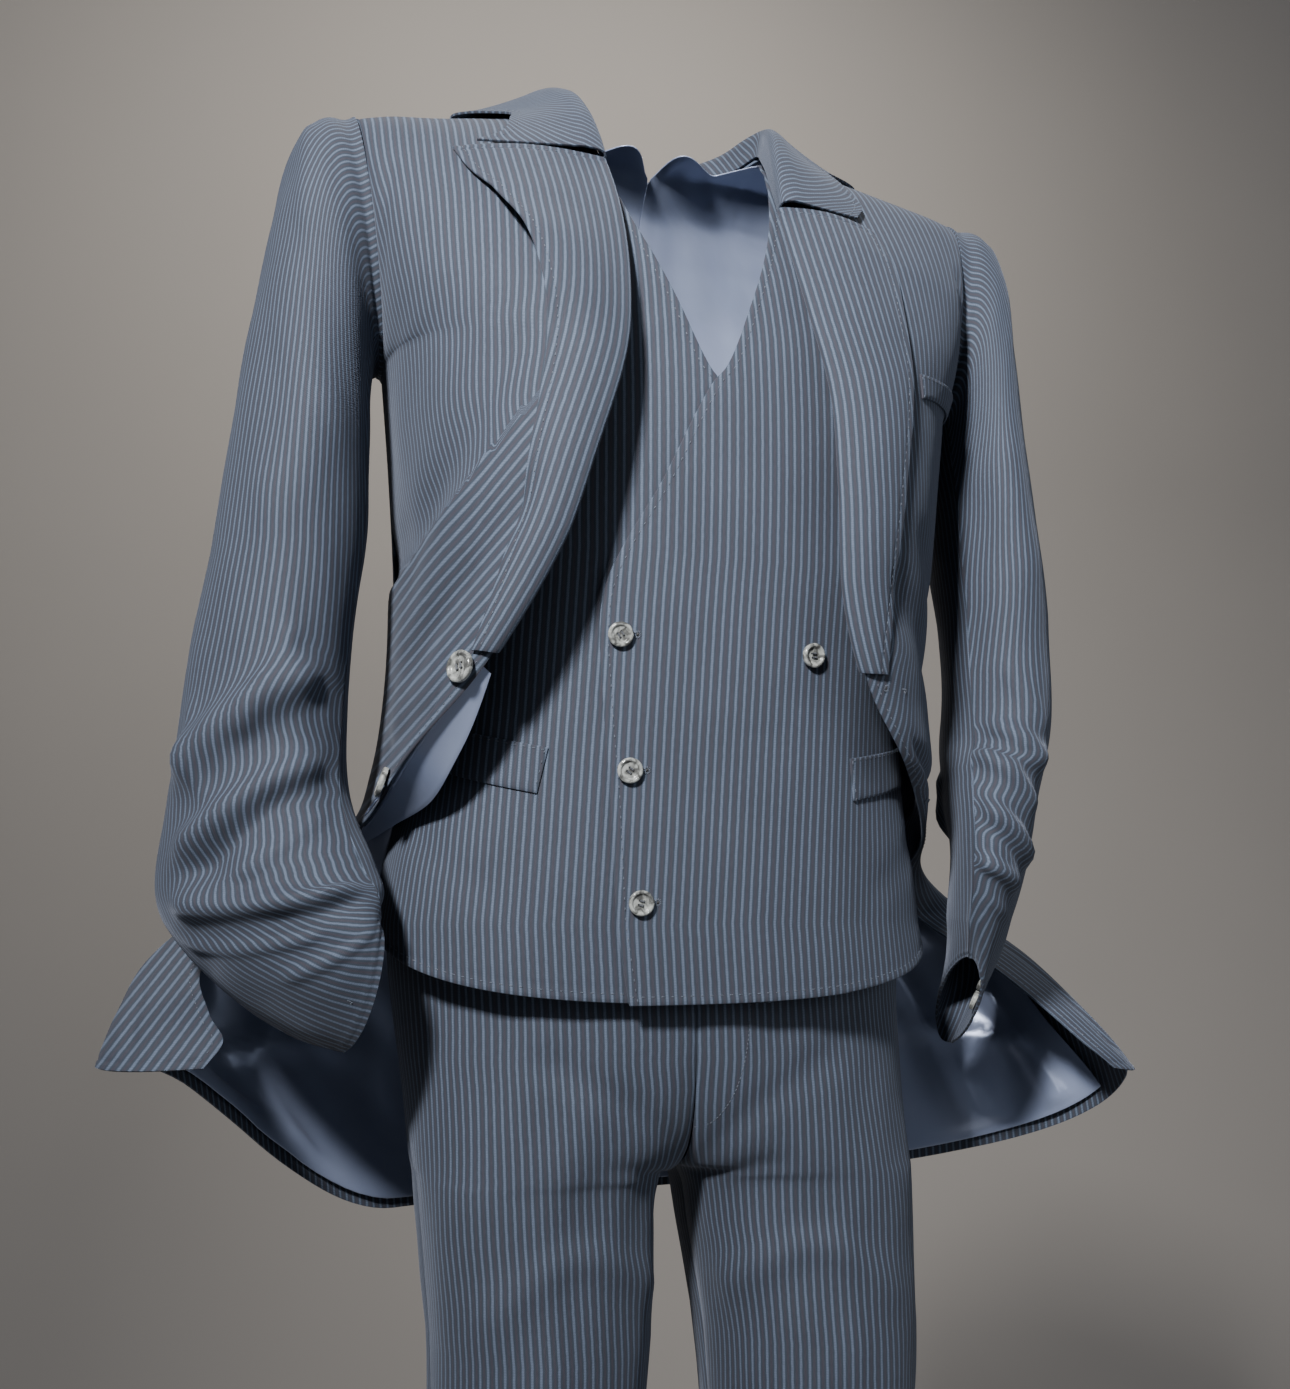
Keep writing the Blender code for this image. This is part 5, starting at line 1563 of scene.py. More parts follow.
@dataclass
class Button:
    """A four-hole horn button with a rim, a dish and its thread, modelled once for each size."""

    radius: float
    thickness: float
    shank: float
    disc: float = 0.72
    hole: float = 0.095
    holes_out: float = 0.235
    thread: float = 0.045
    thread_length: float = 0.36
    thread_out: float = 0.166
    thread_lean: float = 0.03
    shank_width: float = 0.16

    def rod(
        self, sides: int, radius: float, depth: float, at: tuple[float, float, float], tilt: float = 0.0
    ) -> bpy.types.Object:
        """Add a round rod.

        Args:
            sides: how many flats it has.
            radius: its radius.
            depth: its length.
            at: its middle.
            tilt: how far it is turned about X.

        Returns:
            The rod, with its place in its mesh.
        """
        bpy.ops.mesh.primitive_cylinder_add(
            vertices=sides, radius=radius, depth=depth, location=at, rotation=(tilt, 0, 0)
        )
        bpy.ops.object.transform_apply(location=True, rotation=True, scale=True)
        return bpy.context.active_object

    def drilled(self, made: bpy.types.Object) -> None:
        """Drill the four holes.

        Args:
            made: the turned button.
        """
        r, h = self.radius, self.thickness
        drills = []
        for k in range(4):
            angle = math.radians(45 + 90 * k)
            x, y = r * self.holes_out * math.cos(angle), r * self.holes_out * math.sin(angle)
            drills.append(self.rod(12, r * self.hole, h * 4, (x, y, h * 0.4)))
        for drill in drills:
            cut = made.modifiers.new("thread hole", "BOOLEAN")
            cut.operation, cut.solver, cut.object = "DIFFERENCE", "EXACT", drill
        apply_modifiers(made)
        for drill in drills:
            bpy.data.objects.remove(drill)

    def threads(self) -> list[bpy.types.Object]:
        """Make the thread through the holes and the shank below.

        Returns:
            The threads.
        """
        r, h = self.radius, self.thickness
        made = []
        for side in (-1, 1):
            for lean in (-self.thread_lean, self.thread_lean):
                at = (side * r * self.thread_out + lean * r, 0, h * 0.69)
                tilt = math.pi / 2 + lean * 4
                made.append(self.rod(8, r * self.thread, r * self.thread_length, at, tilt))
        below = (0, 0, -self.shank / 2 + h * 0.1)
        made.append(self.rod(12, r * self.shank_width, self.shank + h * 0.2, below))
        for thread in made:
            thread.data.materials.clear()
            thread.data.materials.append(BUTTON_THREAD.build())
        return made

    def model(self) -> bpy.types.Object:
        """Turn the button about +Z, its back on the plane z = 0.

        Returns:
            The button, of horn and thread.
        """
        r, h = self.radius, self.thickness
        deselect_all()
        depth = h * self.disc
        bpy.ops.mesh.primitive_cylinder_add(
            vertices=40, radius=r, depth=depth, location=(0, 0, depth / 2), end_fill_type="NGON"
        )
        made = bpy.context.active_object
        bpy.ops.object.transform_apply(location=True, rotation=True, scale=True)
        bpy.ops.object.mode_set(mode="EDIT")
        bpy.ops.mesh.select_mode(type="FACE")
        bpy.ops.mesh.select_all(action="DESELECT")
        bpy.ops.object.mode_set(mode="OBJECT")
        for face in made.data.polygons:
            face.select = face.normal.z > 0.9
        bpy.ops.object.mode_set(mode="EDIT")
        for inset, rise in BUTTON_FACE:
            bpy.ops.mesh.inset(thickness=r * inset)
            bpy.ops.transform.translate(value=(0, 0, h * rise))
        bpy.ops.object.mode_set(mode="OBJECT")
        soft = made.modifiers.new("turned edges", "BEVEL")
        soft.width, soft.segments = r * 0.035, 2
        soft.limit_method, soft.angle_limit = "ANGLE", math.radians(28)
        apply_modifiers(made)
        self.drilled(made)
        made.data.materials.clear()
        made.data.materials.append(HORN.build())
        threads = self.threads()
        select_only(made)
        for thread in threads:
            thread.select_set(True)
        bpy.ops.object.join()
        bpy.ops.object.shade_smooth_by_angle(angle=math.radians(35))
        return made

    def sew(
        self, model: bpy.types.Object, name: str, at: Array, out: Array, across: Array, turned: float
    ) -> None:
        """Copy the model to its place.

        Args:
            model: the button about +Z.
            name: the solid that it stands for.
            at: its place on the cloth, in the straight suit.
            out: the cloth's normal.
            across: which way is across.
            turned: how far it is turned, in degrees.
        """
        ends = stance(np.array([at, at + out * 0.01, at + across * 0.01]))
        up = Vector(ends[1] - ends[0]).normalized()
        right = Vector(ends[2] - ends[0])
        right = (right - up * right.dot(up)).normalized()
        ways = Matrix((right, up.cross(right), up)).transposed().to_4x4()
        spin = Matrix.Rotation(math.radians(turned), 4, "Z")
        placed = Matrix.Translation(Vector(ends[0]) + up * self.shank) @ ways @ spin
        made = bpy.data.objects.new(f"{name}_horn", model.data.copy())
        bpy.context.scene.collection.objects.link(made)
        made.data.transform(placed)
        keep(made, HORN.name, [name])


def plumb_line(piece: Piece, x: float) -> Array:
    """Return the grain offset that keeps a piece's stripes beside a plumb line.

    Args:
        piece: the piece, already shaped.
        x: the line's distance from the middle of the suit.

    Returns:
        A column of metres of cloth. Where the line lies past the piece, the nearer edge stands for it.
    """
    run, out = lengths(piece.points, 1), np.abs(piece.points[..., 0])
    step = 1 if out[-1, -1] > out[-1, 0] else -1
    found = [np.interp(x, far[::step], line[::step]) for far, line in zip(out, run)]
    return -np.array(found)[:, None]


def shoulder_names(side: Side) -> tuple[str, ...]:
    """Return the names of the solids that hold a jacket panel up."""
    return (f"jacket_back_{side.word}", f"waistcoat_front_{side.word}")


# What stands for s and t in a piece whose points are worked out apart.
NO_PLACES = np.zeros((1, 1))
# How far a lapel's first stripe lies from its roll.
LAPEL_GRAIN = 0.0021
# The front's row at which the lapel ends and the front's own stitching begins.
LAPEL_END_ROW = 7.9


@dataclass
class Jacket:
    """The jacket: fronts, backs, linings, sleeves, lapels, collar, welt and buttons."""

    rows: int = 190
    columns: int = 56
    cloth: float = 0.0018
    fold_cloth: float = 0.0016
    lining_cloth: float = 0.0008
    lapel_clear: float = 0.0010
    pieces: dict[str, Piece] = field(default_factory=dict)

    def grid(self, last: float) -> tuple[Array, Array]:
        """Return even places across, and down to a last row."""
        return np.linspace(0, 1, self.columns + 1)[None, :], np.linspace(0, last, self.rows + 1)[:, None]

    def fronts(self) -> None:
        """Make both fronts, from the shoulder to the hem."""
        for side in Side:
            last = len(FRONT_TOP) + len(FRONT_ROWS[side]) - 1
            s, t = self.grid(last)
            piece = Piece(
                f"jacket_front_{side.word}", jacket_front(side), s, t, -side.value, SUITING, self.cloth,
                creases=f"front_{side.word}", seams=("top", "end"), dressed=("foot",),
                uneven=0.0007, seed=3 + side.value, rests_on=shoulder_names(side),
            )
            piece.shape()
            piece.grain_offset = plumb_line(piece, FRONT_PLUMB)
            if side is Side.RIGHT:
                self.sweep(piece)
            piece.build()
            self.pieces[piece.name] = piece

    def sweep(self, piece: Piece) -> None:
        """Fold the right front outwards below its swept fold, and turn its stripes along the fold.

        Args:
            piece: the right front, shaped, with its stripes plumb.
        """
        (x0, z0), (x1, z1) = SWEPT_FOLD
        x, z, run = -piece.points[..., 0], piece.points[..., 2], lengths(piece.points, 1)
        below = ((x - x0) * (z1 - z0) - (z - z0) * (x1 - x0)) / math.hypot(x1 - x0, z1 - z0)
        swept = (below > 0) & (piece.t > SWEPT_STRIPES_ROW)
        piece.grain_offset = np.where(swept, below - run, piece.grain_offset)
        rise = SWEPT_RISE * smooth(below / SWEPT_RISE_ONSET + 0.5)
        rise = rise * np.exp(-np.clip(below, 0, None) / SWEPT_RISE_LENGTH)
        fall = SWEPT_HOLLOW * swell(below + SWEPT_HOLLOW_INSET, SWEPT_HOLLOW_HALF_WIDTH)
        first, last = SWEPT_ROWS
        away = smooth((run - SWEPT_EDGE) / SWEPT_EDGE_FADE) * smooth((piece.t - first) / SWEPT_ROW_FADE)
        away = away * smooth((last - piece.t) / SWEPT_ROW_FADE)
        piece.points = piece.points + piece.normals * ((rise - fall) * away)[..., None]

    def backs(self) -> None:
        """Make both backs, and their satin linings, a facing's width short of the hem and the sides."""
        for side in Side:
            last = len(BACK_TOP) + len(SPINE_ROWS) - 1
            s, t = self.grid(last)
            piece = Piece(
                f"jacket_back_{side.word}", jacket_back(side), s, t, -side.value, SUITING, self.cloth,
                creases="back", grain="end", seams=("top", "start", "end"), uneven=0.0007, seed=7,
                size=(0.30, 0.060), rests_on=shoulder_names(side)[1:],
            )
            piece.build()
            self.pieces[piece.name] = piece
            s = np.linspace(0.09, 1, 37)[None, :]
            t = np.linspace(0.5, last - 0.42, 121)[:, None]
            billow = -0.0046 - 0.0022 * smooth((t - 5) / 6) * np.sin(np.pi * np.clip(s, 0, 1))
            Piece(
                f"jacket_lining_{side.word}", jacket_back(side), s, t, -side.value, SATIN,
                self.lining_cloth, lift=np.broadcast_to(billow, np.broadcast(s, t).shape), creases="lining",
                grain="end", uneven=0.0016, seed=23 + side.value, size=(0.30, 0.060), held="hung",
                rests_on=(f"jacket_back_{side.word}",),
            ).build()

    def front_lining(self) -> None:
        """Make the strip of lining that bulges past the right front's edge."""
        last = len(FRONT_TOP) + len(FRONT_ROWS[Side.RIGHT]) - 1
        surface, out = jacket_front(Side.RIGHT), mirrored(np.array(LINING_OUT), Side.RIGHT)

        def bulging(s: Array, t: Array) -> Array:
            """Carry the front's surface on past its edge.

            Args:
                s: places across.
                t: places down.

            Returns:
                Points of the straight suit.
            """
            beyond = np.minimum(s, 0)[..., None]
            sag = np.array(LINING_SAG) * beyond * (1 - np.abs(beyond) / LINING_SAG_END)
            return surface(np.maximum(s, 0), t) - beyond * out - sag

        share = np.linspace(0, 1, 61)[:, None]
        t = (LINING_STEPS[0] + (LINING_STEPS[1] - LINING_STEPS[0]) * share) * last / 24
        bulge = spline([[b] for b in LINING_BULGE], 4 * share[:, 0])
        s = -bulge + (LINING_REACH + bulge) * np.linspace(0, 1, 33)[None, :]
        Piece(
            "jacket_lining_front", bulging, s, t, 1, SATIN, 0.0009, lift=-0.0040, uneven=0.0006, seed=5,
            held="hung", rests_on=("jacket_front_right",),
        ).build()

    def sleeves(self) -> None:
        """Make an upper and an under sleeve on each side, joined by seams that twist to the cuff."""
        rings = 1 + len(UPPER_ARM_ROWS[Side.RIGHT]) + len(FOREARM_ROWS[Side.RIGHT])
        for side in Side:
            t = np.linspace(0, rings - 1, 181)[:, None]
            share = t / t[-1]
            back = BACK_SEAM[0] + (BACK_SEAM[1] - BACK_SEAM[0]) * share
            front = FRONT_SEAM[0] + (FRONT_SEAM[1] - FRONT_SEAM[0]) * share
            for part, low, high, count in (("upper", back, front, 52), ("under", front, back + 1, 44)):
                s = low + (high - low) * np.linspace(0, 1, count + 1)[None, :]
                head = 0.0016 * swell(t - 0.35, 0.22) * np.ones_like(s)
                piece = Piece(
                    f"sleeve_{part}_{side.word}", sleeve_surface(side), s, t, -side.value, SUITING, self.cloth,
                    lift=head, creases=f"sleeve_{side.word}", size=SLEEVE_SIZE, grain="middle",
                    seams=("top", "start", "end"), dressed=("foot",), uneven=0.0008, seed=11 + side.value,
                    rests_on=(f"jacket_front_{side.word}", f"jacket_back_{side.word}"),
                )
                piece.build()
                self.pieces[piece.name] = piece

    def lapels(self) -> None:
        """Make the lapels: each wraps round the front's edge and lies back over the front."""
        wraps = np.radians(np.linspace(180, 20, 9))
        shares = np.linspace(0, 1, 34) ** 0.9
        for side in Side:
            surface, rows = jacket_front(side), []
            table = LAPEL_ROWS[side]
            for row, width, stand_off in spline(table, np.linspace(0, len(table) - 1, 150)):
                s = arc_places(surface, row, width, shares)
                t = np.full_like(s, row)
                across, down = slopes(surface, s, t)
                normal = unit(np.cross(across, down)) * -side.value
                full = LAPEL_FULLNESS * np.sin(np.pi * shares) * min(1, width / LAPEL_FULL_WIDTH)
                off = self.cloth + self.lapel_clear + full + stand_off * shares**1.5
                flat = surface(s, t) + normal * off[:, None]
                middle = surface(s[0], t[0]) - normal[0] * ROLL_CENTRE
                turned = np.cos(wraps)[:, None] * normal[0] - np.sin(wraps)[:, None] * across[0]
                rows.append(np.vstack([middle + turned * ROLL_RADIUS, flat]))
            piece = Piece(
                f"lapel_{side.word}", surface, NO_PLACES, NO_PLACES, -side.value, SUITING, self.fold_cloth,
                grain_offset=LAPEL_GRAIN, held="folded", rests_on=(f"jacket_front_{side.word}",),
            )
            piece.points = np.array(rows)
            far = piece.edges(piece.points)
            dip = np.zeros(far["end"].shape)
            for edge in ("end", "top"):
                dip += STITCHED_DEPTH * swell(far[edge] - PICK_INSET, STITCHED_HALF_WIDTH)
            piece.normals = grid_normals(piece.points, piece.turn)
            piece.points = piece.points - piece.normals * (dip * smooth(far["start"] / 0.012))[..., None]
            piece.normals = grid_normals(piece.points, piece.turn)
            piece.build()
            self.pieces[piece.name] = piece

    def collar(self) -> None:
        """Make the collar: a stand inside the neckline, a fold, and a fall over the shoulders."""
        sections = []
        for side in Side:
            front, back = jacket_front(side), jacket_back(side)
            half = []
            end_t = COLLAR_END[side][0]
            for seam_t, width, edge_t, stand in (COLLAR_END[side], *COLLAR_FRONT_ROWS):
                t = np.linspace(seam_t, edge_t, 9) * (1 if seam_t == end_t else end_t / COLLAR_FULL_ROW)
                half.append((front, arc_places(front, t[0], width, np.linspace(0, 1, 9)), t, side, stand))
            for seam_t, width, edge_t, stand in COLLAR_BACK_ROWS:
                t = np.linspace(seam_t, edge_t, 9)
                ends = back(np.array([0.0, 1.0]), np.array([seam_t, seam_t]))
                run = width / max(np.linalg.norm(ends[0] - ends[1]), 1e-6)
                half.append((back, 1 - run * 1.15 * np.linspace(0, 1, 9), t, side, stand))
            sections.append(half)
        found = []
        for surface, s, t, side, stand in sections[0] + sections[1][-2::-1]:
            across, down = slopes(surface, s, t)
            normal = unit(np.cross(across, down)) * -side.value
            run, base = np.linspace(0, 1, 9), surface(s, t)
            out = unit(base[1] - base[0])
            fall = base + normal * (self.cloth + COLLAR_CLEAR + stand * (1 - run) ** 1.6)[:, None]
            seam = base[0] - out * (self.cloth + 0.0014)
            standing = seam + normal[0] * np.array((-0.002, 0.45 * stand, 0.92 * stand))[:, None]
            top = base[0] - out * 0.0005 + normal[0] * (stand + self.cloth + 0.0012)
            found.append(np.vstack([standing, top, fall[1:]]))
        found = np.array(found)
        fine = spline(found, np.linspace(0, len(found) - 1, 221))
        fine = np.moveaxis(spline(np.moveaxis(fine, 1, 0), np.linspace(0, found.shape[1] - 1, 56)), 0, 1)
        piece = Piece(
            "collar", jacket_back(Side.LEFT), NO_PLACES, NO_PLACES, 1, SUITING, self.fold_cloth,
            grain="middle", held="folded", rests_on=("jacket_back_left", "jacket_back_right"),
        )
        piece.points = np.moveaxis(fine, 1, 0)
        piece.normals = grid_normals(piece.points, 1)
        piece.turn = 1 if piece.normals[len(piece.normals) // 2, piece.normals.shape[1] // 2, 1] > 0 else -1
        piece.normals = grid_normals(piece.points, piece.turn)
        piece.build()
        self.pieces["collar"] = piece

    def welt(self) -> None:
        """Make the breast pocket's welt on the left front, following the front's own stripes."""
        last = len(FRONT_TOP) + len(FRONT_ROWS[Side.LEFT]) - 1
        lay_welt(self.pieces["jacket_front_left"], "breast_pocket_welt", BREAST_WELT, last)

    def sewing(self) -> None:
        """Sew the pick stitching of the lapels and fronts, and the left front's buttonholes."""
        for side in Side:
            lapel, front = self.pieces[f"lapel_{side.word}"], self.pieces[f"jacket_front_{side.word}"]
            lines = [lapel.line("end", PICK_INSET), lapel.line("top", PICK_INSET, 0.3, 1.0)]
            pick_stitches(f"lapel_{side.word}_pick_stitches", lines)
            last = float(front.t[-1, 0])
            below = front.line("start", PICK_INSET, LAPEL_END_ROW / last, 1.0)
            pick_stitches(f"front_{side.word}_pick_stitches", [below])
        pick_stitches("collar_pick_stitches", [self.pieces["collar"].line("foot", PICK_INSET)])
        front = self.pieces["jacket_front_left"]
        last = float(front.t[-1, 0])
        for number, (row, _) in enumerate(JACKET_BUTTON_ROWS, 1):
            points, normals = front.line("start", 0.012, row / last, (row + 0.3) / last)
            beyond, _ = front.line("start", 0.030, row / last, (row + 0.3) / last)
            buttonhole(f"front_buttonhole_{number}", points[0], beyond[0] - points[0], normals[0])

    def buttons(self) -> None:
        """Sew the two front buttons on the right front, and four on each cuff."""
        front = self.pieces["jacket_front_right"]
        last = float(front.t[-1, 0])
        large, small = Button(*JACKET_BUTTON), Button(*CUFF_BUTTON)
        model = large.model()
        for number, (row, inset) in enumerate(JACKET_BUTTON_ROWS, 1):
            points, normals = front.line("start", inset, row / last, (row + 0.3) / last)
            beyond, _ = front.line("start", inset + 0.01, row / last, (row + 0.3) / last)
            across = unit(beyond[0] - points[0])
            large.sew(model, f"jacket_button_{number}", points[0], normals[0], across, 20 * number)
        bpy.data.objects.remove(model)
        model = small.model()
        for side in Side:
            sleeve = self.pieces[f"sleeve_upper_{side.word}"]
            rows, columns = sleeve.points.shape[:2]
            for number, step in enumerate(CUFF_BUTTON_STEPS[side], 1):
                i, j = round(step / 24 * (rows - 1)), round(CUFF_BUTTON_ACROSS[side] * (columns - 1))
                across = unit(sleeve.points[i, j + 1] - sleeve.points[i, j])
                at, out = sleeve.points[i, j], sleeve.normals[i, j]
                small.sew(model, f"cuff_button_{side.word}_{number}", at, out, across, 15 * number)
                hole = f"cuff_{side.word}_buttonhole_{number}"
                buttonhole(hole, at + across * 0.010, across, out, 0.014)
        bpy.data.objects.remove(model)

    def build(self) -> None:
        """Make the whole jacket."""
        self.fronts()
        self.backs()
        self.front_lining()
        self.sleeves()
        self.lapels()
        self.collar()
        self.welt()
        self.sewing()
        self.buttons()


def lay_welt(panel: Piece, name: str, places: Sequence[float], counts: float) -> None:
    """Lay a pocket's welt on a panel, its stripes in line with the panel's.

    Args:
        panel: the cloth under it.
        name: the solid that it stands for.
        places: from and to across, from and to down, and how far its outer end rises.
        counts: the panel's last table row.
    """
    s_from, s_to, t_from, t_to, rise = places
    s, t = np.meshgrid(np.linspace(s_from, s_to, 37), np.linspace(t_from, t_to, 13))
    t = t + rise * (s - s_from) / (s_to - s_from)
    rows, columns = panel.points.shape[:2]
    i, j = t / counts * (rows - 1), s * (columns - 1)
    low_i, low_j = np.clip(i.astype(int), 0, rows - 2), np.clip(j.astype(int), 0, columns - 2)
    k, m = (i - low_i)[..., None], (j - low_j)[..., None]

    def read(grid: Array) -> Array:
        """Read the panel's grid between its points."""
        upper = grid[low_i, low_j] * (1 - m) + grid[low_i, low_j + 1] * m
        return upper * (1 - k) + (grid[low_i + 1, low_j] * (1 - m) + grid[low_i + 1, low_j + 1] * m) * k

    piece = Piece(name, panel.surface, s, t, panel.turn, SUITING, 0.0014)
    normals = unit(read(panel.normals))
    piece.points = read(panel.points) + normals * WELT_LIFT
    far = piece.edges(piece.points)
    near = np.minimum(np.minimum(far["start"], far["end"]), far["foot"])
    piece.points = piece.points - normals * (WELT_TURN * swell(near, WELT_TURN_WIDTH))[..., None]
    piece.normals = grid_normals(piece.points, panel.turn)
    u = read(panel.cloth_map()[0][..., None])[..., 0]
    piece.grain_offset = u - lengths(piece.points, 1)
    piece.held, piece.rests_on = "laid", (panel.name,)
    piece.build()
    lines = [piece.line(edge, WELT_PICK_INSET) for edge in ("top", "start", "end")]
    pick_stitches(f"{name}_pick_stitches", lines)


@dataclass
class Waistcoat:
    """The double-breasted waistcoat: striped fronts, the left one on top, and backs of lining satin."""

    cloth: float = 0.0017
    pieces: dict[str, Piece] = field(default_factory=dict)

    def fronts(self) -> None:
        """Make both fronts; the left one laps over the right one."""
        last = len(VEST_FRONT_ROWS) - 1
        s, t = np.meshgrid(np.linspace(0, 1, 65), np.linspace(0, last, 171))
        for side in Side:
            surface = waistcoat_surface(VEST_FRONT_ROWS, side, False)
            lift: Array | float = 0.0
            if side is Side.LEFT:
                x = surface(s, t)[..., 0]
                lift = OVERLAP_LIFT * (1 - smooth((x - OVERLAP_FROM) / (OVERLAP_TO - OVERLAP_FROM)))
                lift = lift * smooth((t - OVERLAP_ROW) / OVERLAP_ROWS)
            edge = surface(s[:, :1], t[:, :1])[..., 0]
            piece = Piece(
                f"waistcoat_front_{side.word}", surface, s, t, -side.value, SUITING, self.cloth, lift=lift,
                creases="waistcoat_front", size=(0.22, 0.062), grain_offset=edge * side.value,
                seams=("top", "end"), dressed=("start", "foot"), uneven=0.0004, seed=31 + side.value,
                inside=SATIN, rests_on=(f"waistcoat_back_{side.word}",),
            )
            piece.build()
            self.pieces[piece.name] = piece

    def backs(self) -> None:
        """Make both backs."""
        s, t = np.linspace(0, 1, 41)[None, :], np.linspace(0, len(VEST_BACK_ROWS) - 1, 121)[:, None]
        for side in Side:
            Piece(
                f"waistcoat_back_{side.word}", waistcoat_surface(VEST_BACK_ROWS, side, True), s, t, side.value,
                SATIN, 0.0012, creases="waistcoat_back", size=(0.22, 0.085), seams=("top", "start", "end"),
                uneven=0.0009, seed=37 + side.value, rests_on=("waistband_left", "waistband_right"),
            ).build()

    def sewing(self) -> None:
        """Make the welts, the edges' pick stitching, the buttonholes and the buttons."""
        for side in Side:
            panel = self.pieces[f"waistcoat_front_{side.word}"]
            lay_welt(panel, f"waistcoat_welt_{side.word}", VEST_WELT, len(VEST_FRONT_ROWS) - 1)
            lines = [panel.line(edge, VEST_PICK_INSET) for edge in ("start", "foot")]
            pick_stitches(f"waistcoat_{side.word}_pick_stitches", lines)
        panel, button = self.pieces["waistcoat_front_left"], Button(*VEST_BUTTON)
        model = button.model()
        rows, columns = panel.points.shape[:2]
        for number, (s, row) in enumerate(VEST_BUTTONS, 1):
            i, j = row / (len(VEST_FRONT_ROWS) - 1) * (rows - 1), s * (columns - 1)
            point, out = (spline(spline(grid, i), j) for grid in (panel.points, panel.normals))
            beyond = spline(spline(panel.points, i), j + 1)
            across = unit(beyond - point)
            button.sew(model, f"waistcoat_button_{number}", point, unit(out), across, 10 + 22 * number)
            if number <= VEST_BUTTONHOLES:
                buttonhole(f"waistcoat_buttonhole_{number}", point + across * 0.0105, -across, unit(out), 0.017)
        bpy.data.objects.remove(model)

    def build(self) -> None:
        """Make the whole waistcoat."""
        self.fronts()
        self.backs()
        self.sewing()


@dataclass
class Trousers:
    """The flat-front trousers: two fronts, two backs and a waistband."""

    cloth: float = 0.0018

    def legs(self) -> dict[str, Piece]:
        """Make the four leg panels.

        Returns:
            The panels by name.
        """
        made = {}
        s, t = np.linspace(0, 1, 49)[None, :], np.linspace(WAIST_ROW, len(LEG_ROWS) - 1, 191)[:, None]
        crease = CREASE_HEIGHT * swell(s - CREASE_ACROSS, CREASE_HALF_WIDTH)
        crease = crease * smooth((t - CREASE_ROW) / CREASE_FADE)
        for side in Side:
            for behind, part in ((False, "front"), (True, "back")):
                turn = side.value if behind else -side.value
                piece = Piece(
                    f"trouser_{part}_{side.word}", leg_surface(side, behind), s, t, turn, SUITING, self.cloth,
                    lift=crease, creases=f"leg_{part}", size=(0.26, 0.075), seams=("start", "end", "top"),
                    dressed=("foot",), uneven=0.0010, seed=41 + side.value + 2 * behind,
                    rests_on=(f"waistband_{side.word}",),
                )
                piece.shape()
                piece.grain_offset = plumb_line(piece, LEG_ROWS[CROTCH_ROW][1])
                piece.build()
                made[piece.name] = piece
        return made

    def fly(self, panel: Piece) -> None:
        """Sew the fly's curved line of stitches on the left front.

        Args:
            panel: the left front.
        """
        rows, columns = panel.points.shape[:2]
        share = np.linspace(0, 1, 60)
        t = FLY_ROWS[0] + (FLY_ROWS[1] - FLY_ROWS[0]) * share
        turned = np.clip(share - FLY_TURN, 0, None) / (1 - FLY_TURN)
        across = FLY_WIDTH * np.sqrt(np.clip(1 - turned**2, 0, 1))
        points, normals = [], []
        for row, metres in zip(t, across):
            i = (row - WAIST_ROW) / (len(LEG_ROWS) - 1 - WAIST_ROW) * (rows - 1)
            line, out = spline(panel.points, i), spline(panel.normals, i)
            run = np.concatenate([[0], np.cumsum(np.linalg.norm(np.diff(line, axis=0), axis=1))])
            j = np.interp(metres + 0.001, run, np.arange(columns))
            points.append(spline(line, j))
            normals.append(spline(out, j))
        at, along, out = spaced(np.array(points), unit(np.array(normals)), FLY_STEP)
        beads("fly_stitches", at, along, out, FLY_STITCH, STITCH)

    def waistband(self) -> None:
        """Make the two halves of the waistband."""
        s, t = np.linspace(0, 1, 97)[None, :], np.linspace(0, WAIST_ROW, 17)[:, None]
        for side in Side:
            Piece(
                f"waistband_{side.word}", waist_surface(side), s, t, -side.value, SUITING, self.cloth,
                seams=("start", "end", "foot"), uneven=0.0, rests_on=(f"waistcoat_back_{side.word}",),
            ).build()

    def build(self) -> None:
        """Make the whole pair."""
        made = self.legs()
        self.fly(made["trouser_front_left"])
        self.waistband()


@dataclass(frozen=True)
class Lamp:
    """An area light that looks at a place, the suit's chest if none is given."""

    name: str
    at: tuple[float, float, float]
    power: float
    size: float
    colour: tuple[float, float, float]
    aim: tuple[float, float, float] = (0, 0, -0.25)
    spread: float = 180

    def hang(self) -> None:
        """Hang the light and turn it to what it looks at."""
        light = bpy.data.lights.new(self.name, "AREA")
        light.energy, light.size, light.color = self.power, self.size, self.colour
        light.spread = math.radians(self.spread)
        made = bpy.data.objects.new(self.name, light)
        made.location = self.at
        made.rotation_euler = (Vector(self.aim) - Vector(self.at)).to_track_quat("-Z", "Y").to_euler()
        bpy.context.scene.collection.objects.link(made)


LAMPS = (
    Lamp("key_light", (-1.20, -1.85, 0.90), 18.5, 0.28, (0.98, 0.98, 1.0), (0.10, 0, -0.28), 58),
    Lamp("wall_light", (0.8, 1.9, 2.6), 75.0, 2.4, (1.0, 0.98, 0.96), (0.8, 4.4, -0.1)),
    Lamp("fill_light", (1.5, -1.9, 0.2), 12.0, 1.2, (0.92, 0.96, 1.0)),
    Lamp("top_light", (0.3, 0.8, 1.8), 14.0, 1.2, (1.0, 0.98, 0.95)),
)


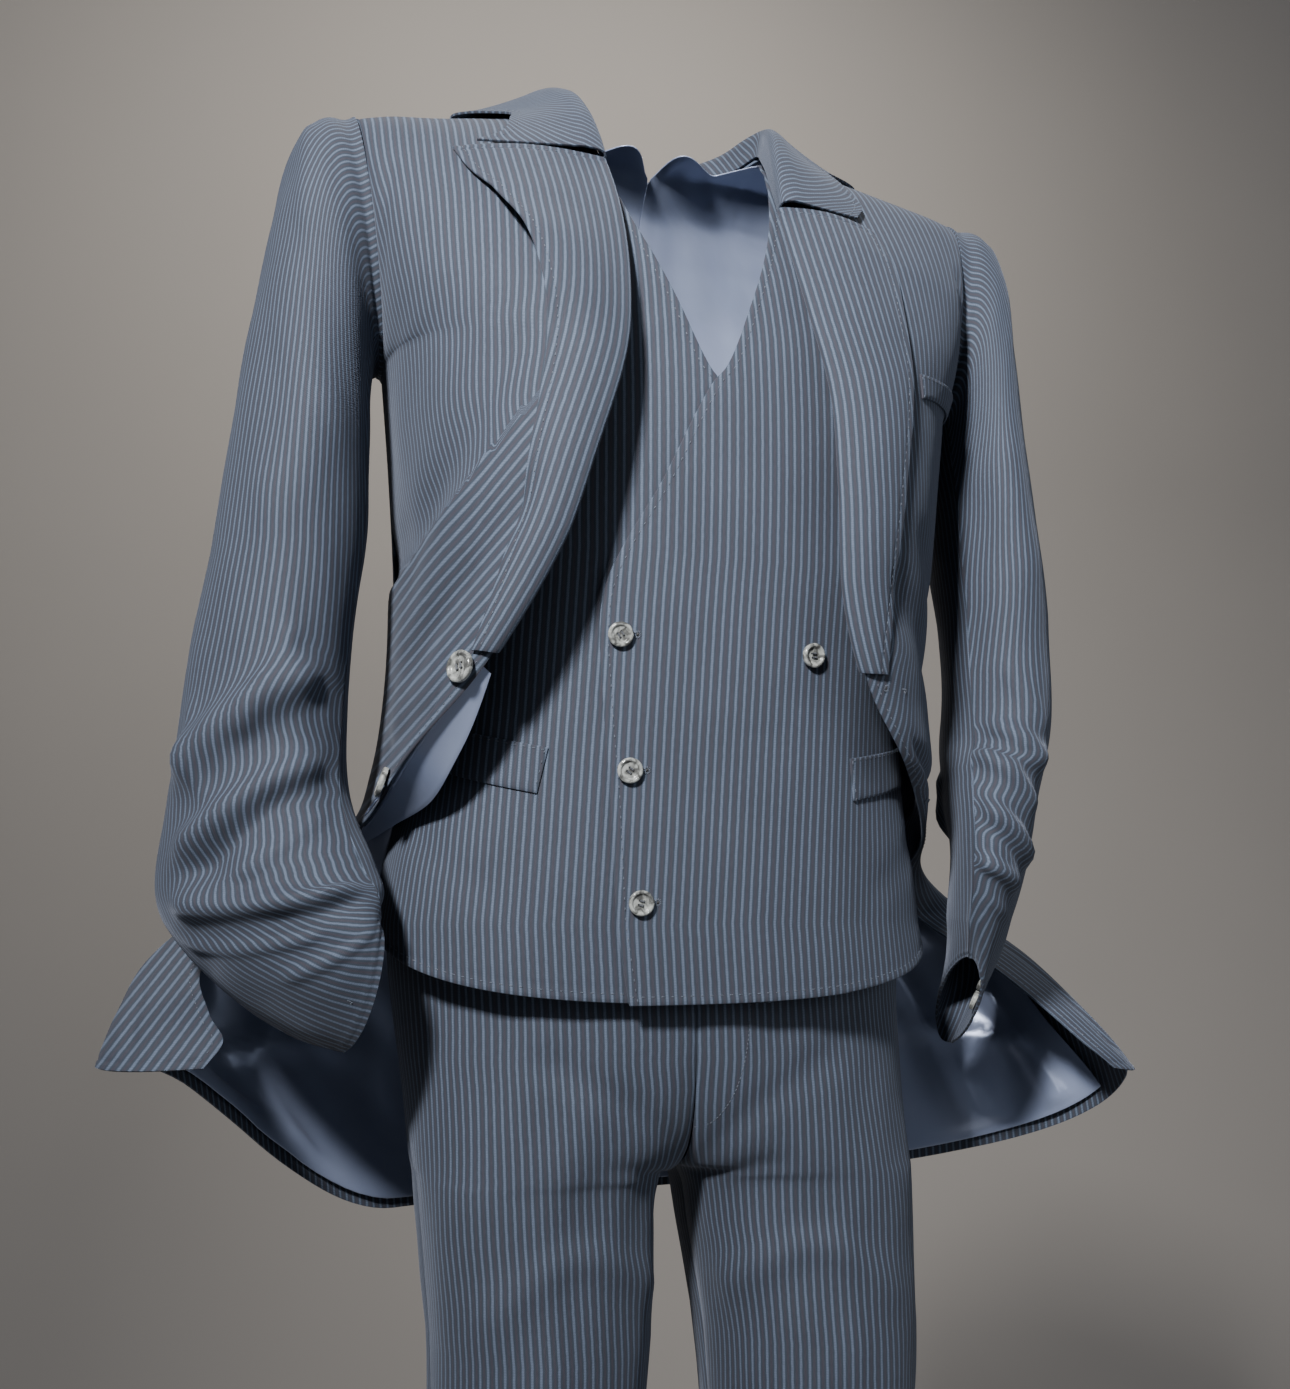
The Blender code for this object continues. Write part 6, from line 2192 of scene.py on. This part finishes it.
@dataclass(frozen=True)
class Studio:
    """The floor, the wall, the lights and the camera."""

    floor_z: float = -1.560
    wall_y: float = 4.4
    eye: tuple[float, float, float] = (-0.271, -1.040, -0.552)
    turned: float = 14.0
    raised: float = 7.0
    lens: float = 38.9
    floor_size: float = 3.2
    wall_size: float = 12.0
    floor_colour: tuple[float, float, float] = (0.62, 0.60, 0.57)
    wall_colour: tuple[float, float, float] = (0.52, 0.475, 0.42)
    air_colour: tuple[float, float, float] = (0.80, 0.86, 1.0)
    air_strength: float = 0.17

    def paint(self, name: str, colour: tuple[float, float, float]) -> bpy.types.Material:
        """Make a plain matt paint with a slight mottle.

        Args:
            name: the material's name.
            colour: its colour.

        Returns:
            The material.
        """
        made, n, shader = new_material(name)
        place = n.add("ShaderNodeTexCoord").outputs["Object"]
        cloud = n.add("ShaderNodeTexNoise", in_Vector=place, in_Scale=1.2, in_Detail=2.0)
        dark = tuple(c * 0.94 for c in colour)
        mottled = n.mix(cloud.outputs[0], (*dark, 1), (*colour, 1))
        made.node_tree.links.new(mottled, shader.inputs["Base Color"])
        shader.inputs["Roughness"].default_value = 0.9
        return made

    def build(self) -> None:
        """Make the stage, light it and set the camera up."""
        deselect_all()
        bpy.ops.mesh.primitive_plane_add(size=self.floor_size, location=(0, 0, self.floor_z))
        floor = bpy.context.active_object
        floor.name = "studio_floor"
        floor.data.materials.append(self.paint("pale_floor", self.floor_colour))
        bpy.ops.mesh.primitive_plane_add(
            size=self.wall_size, location=(0, self.wall_y, 0), rotation=(math.pi / 2, 0, 0)
        )
        wall = bpy.context.active_object
        wall.name = "studio_wall"
        wall.data.materials.append(self.paint("taupe_wall", self.wall_colour))
        world = bpy.data.worlds.new("studio_air")
        world.use_nodes = True
        world.node_tree.nodes["Background"].inputs[0].default_value = (*self.air_colour, 1)
        world.node_tree.nodes["Background"].inputs[1].default_value = self.air_strength
        bpy.context.scene.world = world
        for lamp in LAMPS:
            lamp.hang()
        camera = bpy.data.cameras.new("photo_camera")
        camera.lens, camera.sensor_width, camera.sensor_fit = self.lens, 36.0, "AUTO"
        camera.clip_start = 0.05
        made = bpy.data.objects.new("photo_camera", camera)
        made.location = self.eye
        made.rotation_euler = (math.radians(90 + self.raised), 0, math.radians(-self.turned))
        bpy.context.scene.collection.objects.link(made)
        bpy.context.scene.camera = made


def main() -> None:
    """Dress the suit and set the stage."""
    logging.basicConfig(level=logging.INFO, format="%(message)s")
    Studio().build()
    Jacket().build()
    Waistcoat().build()
    Trousers().build()


if __name__ == "__main__":
    main()
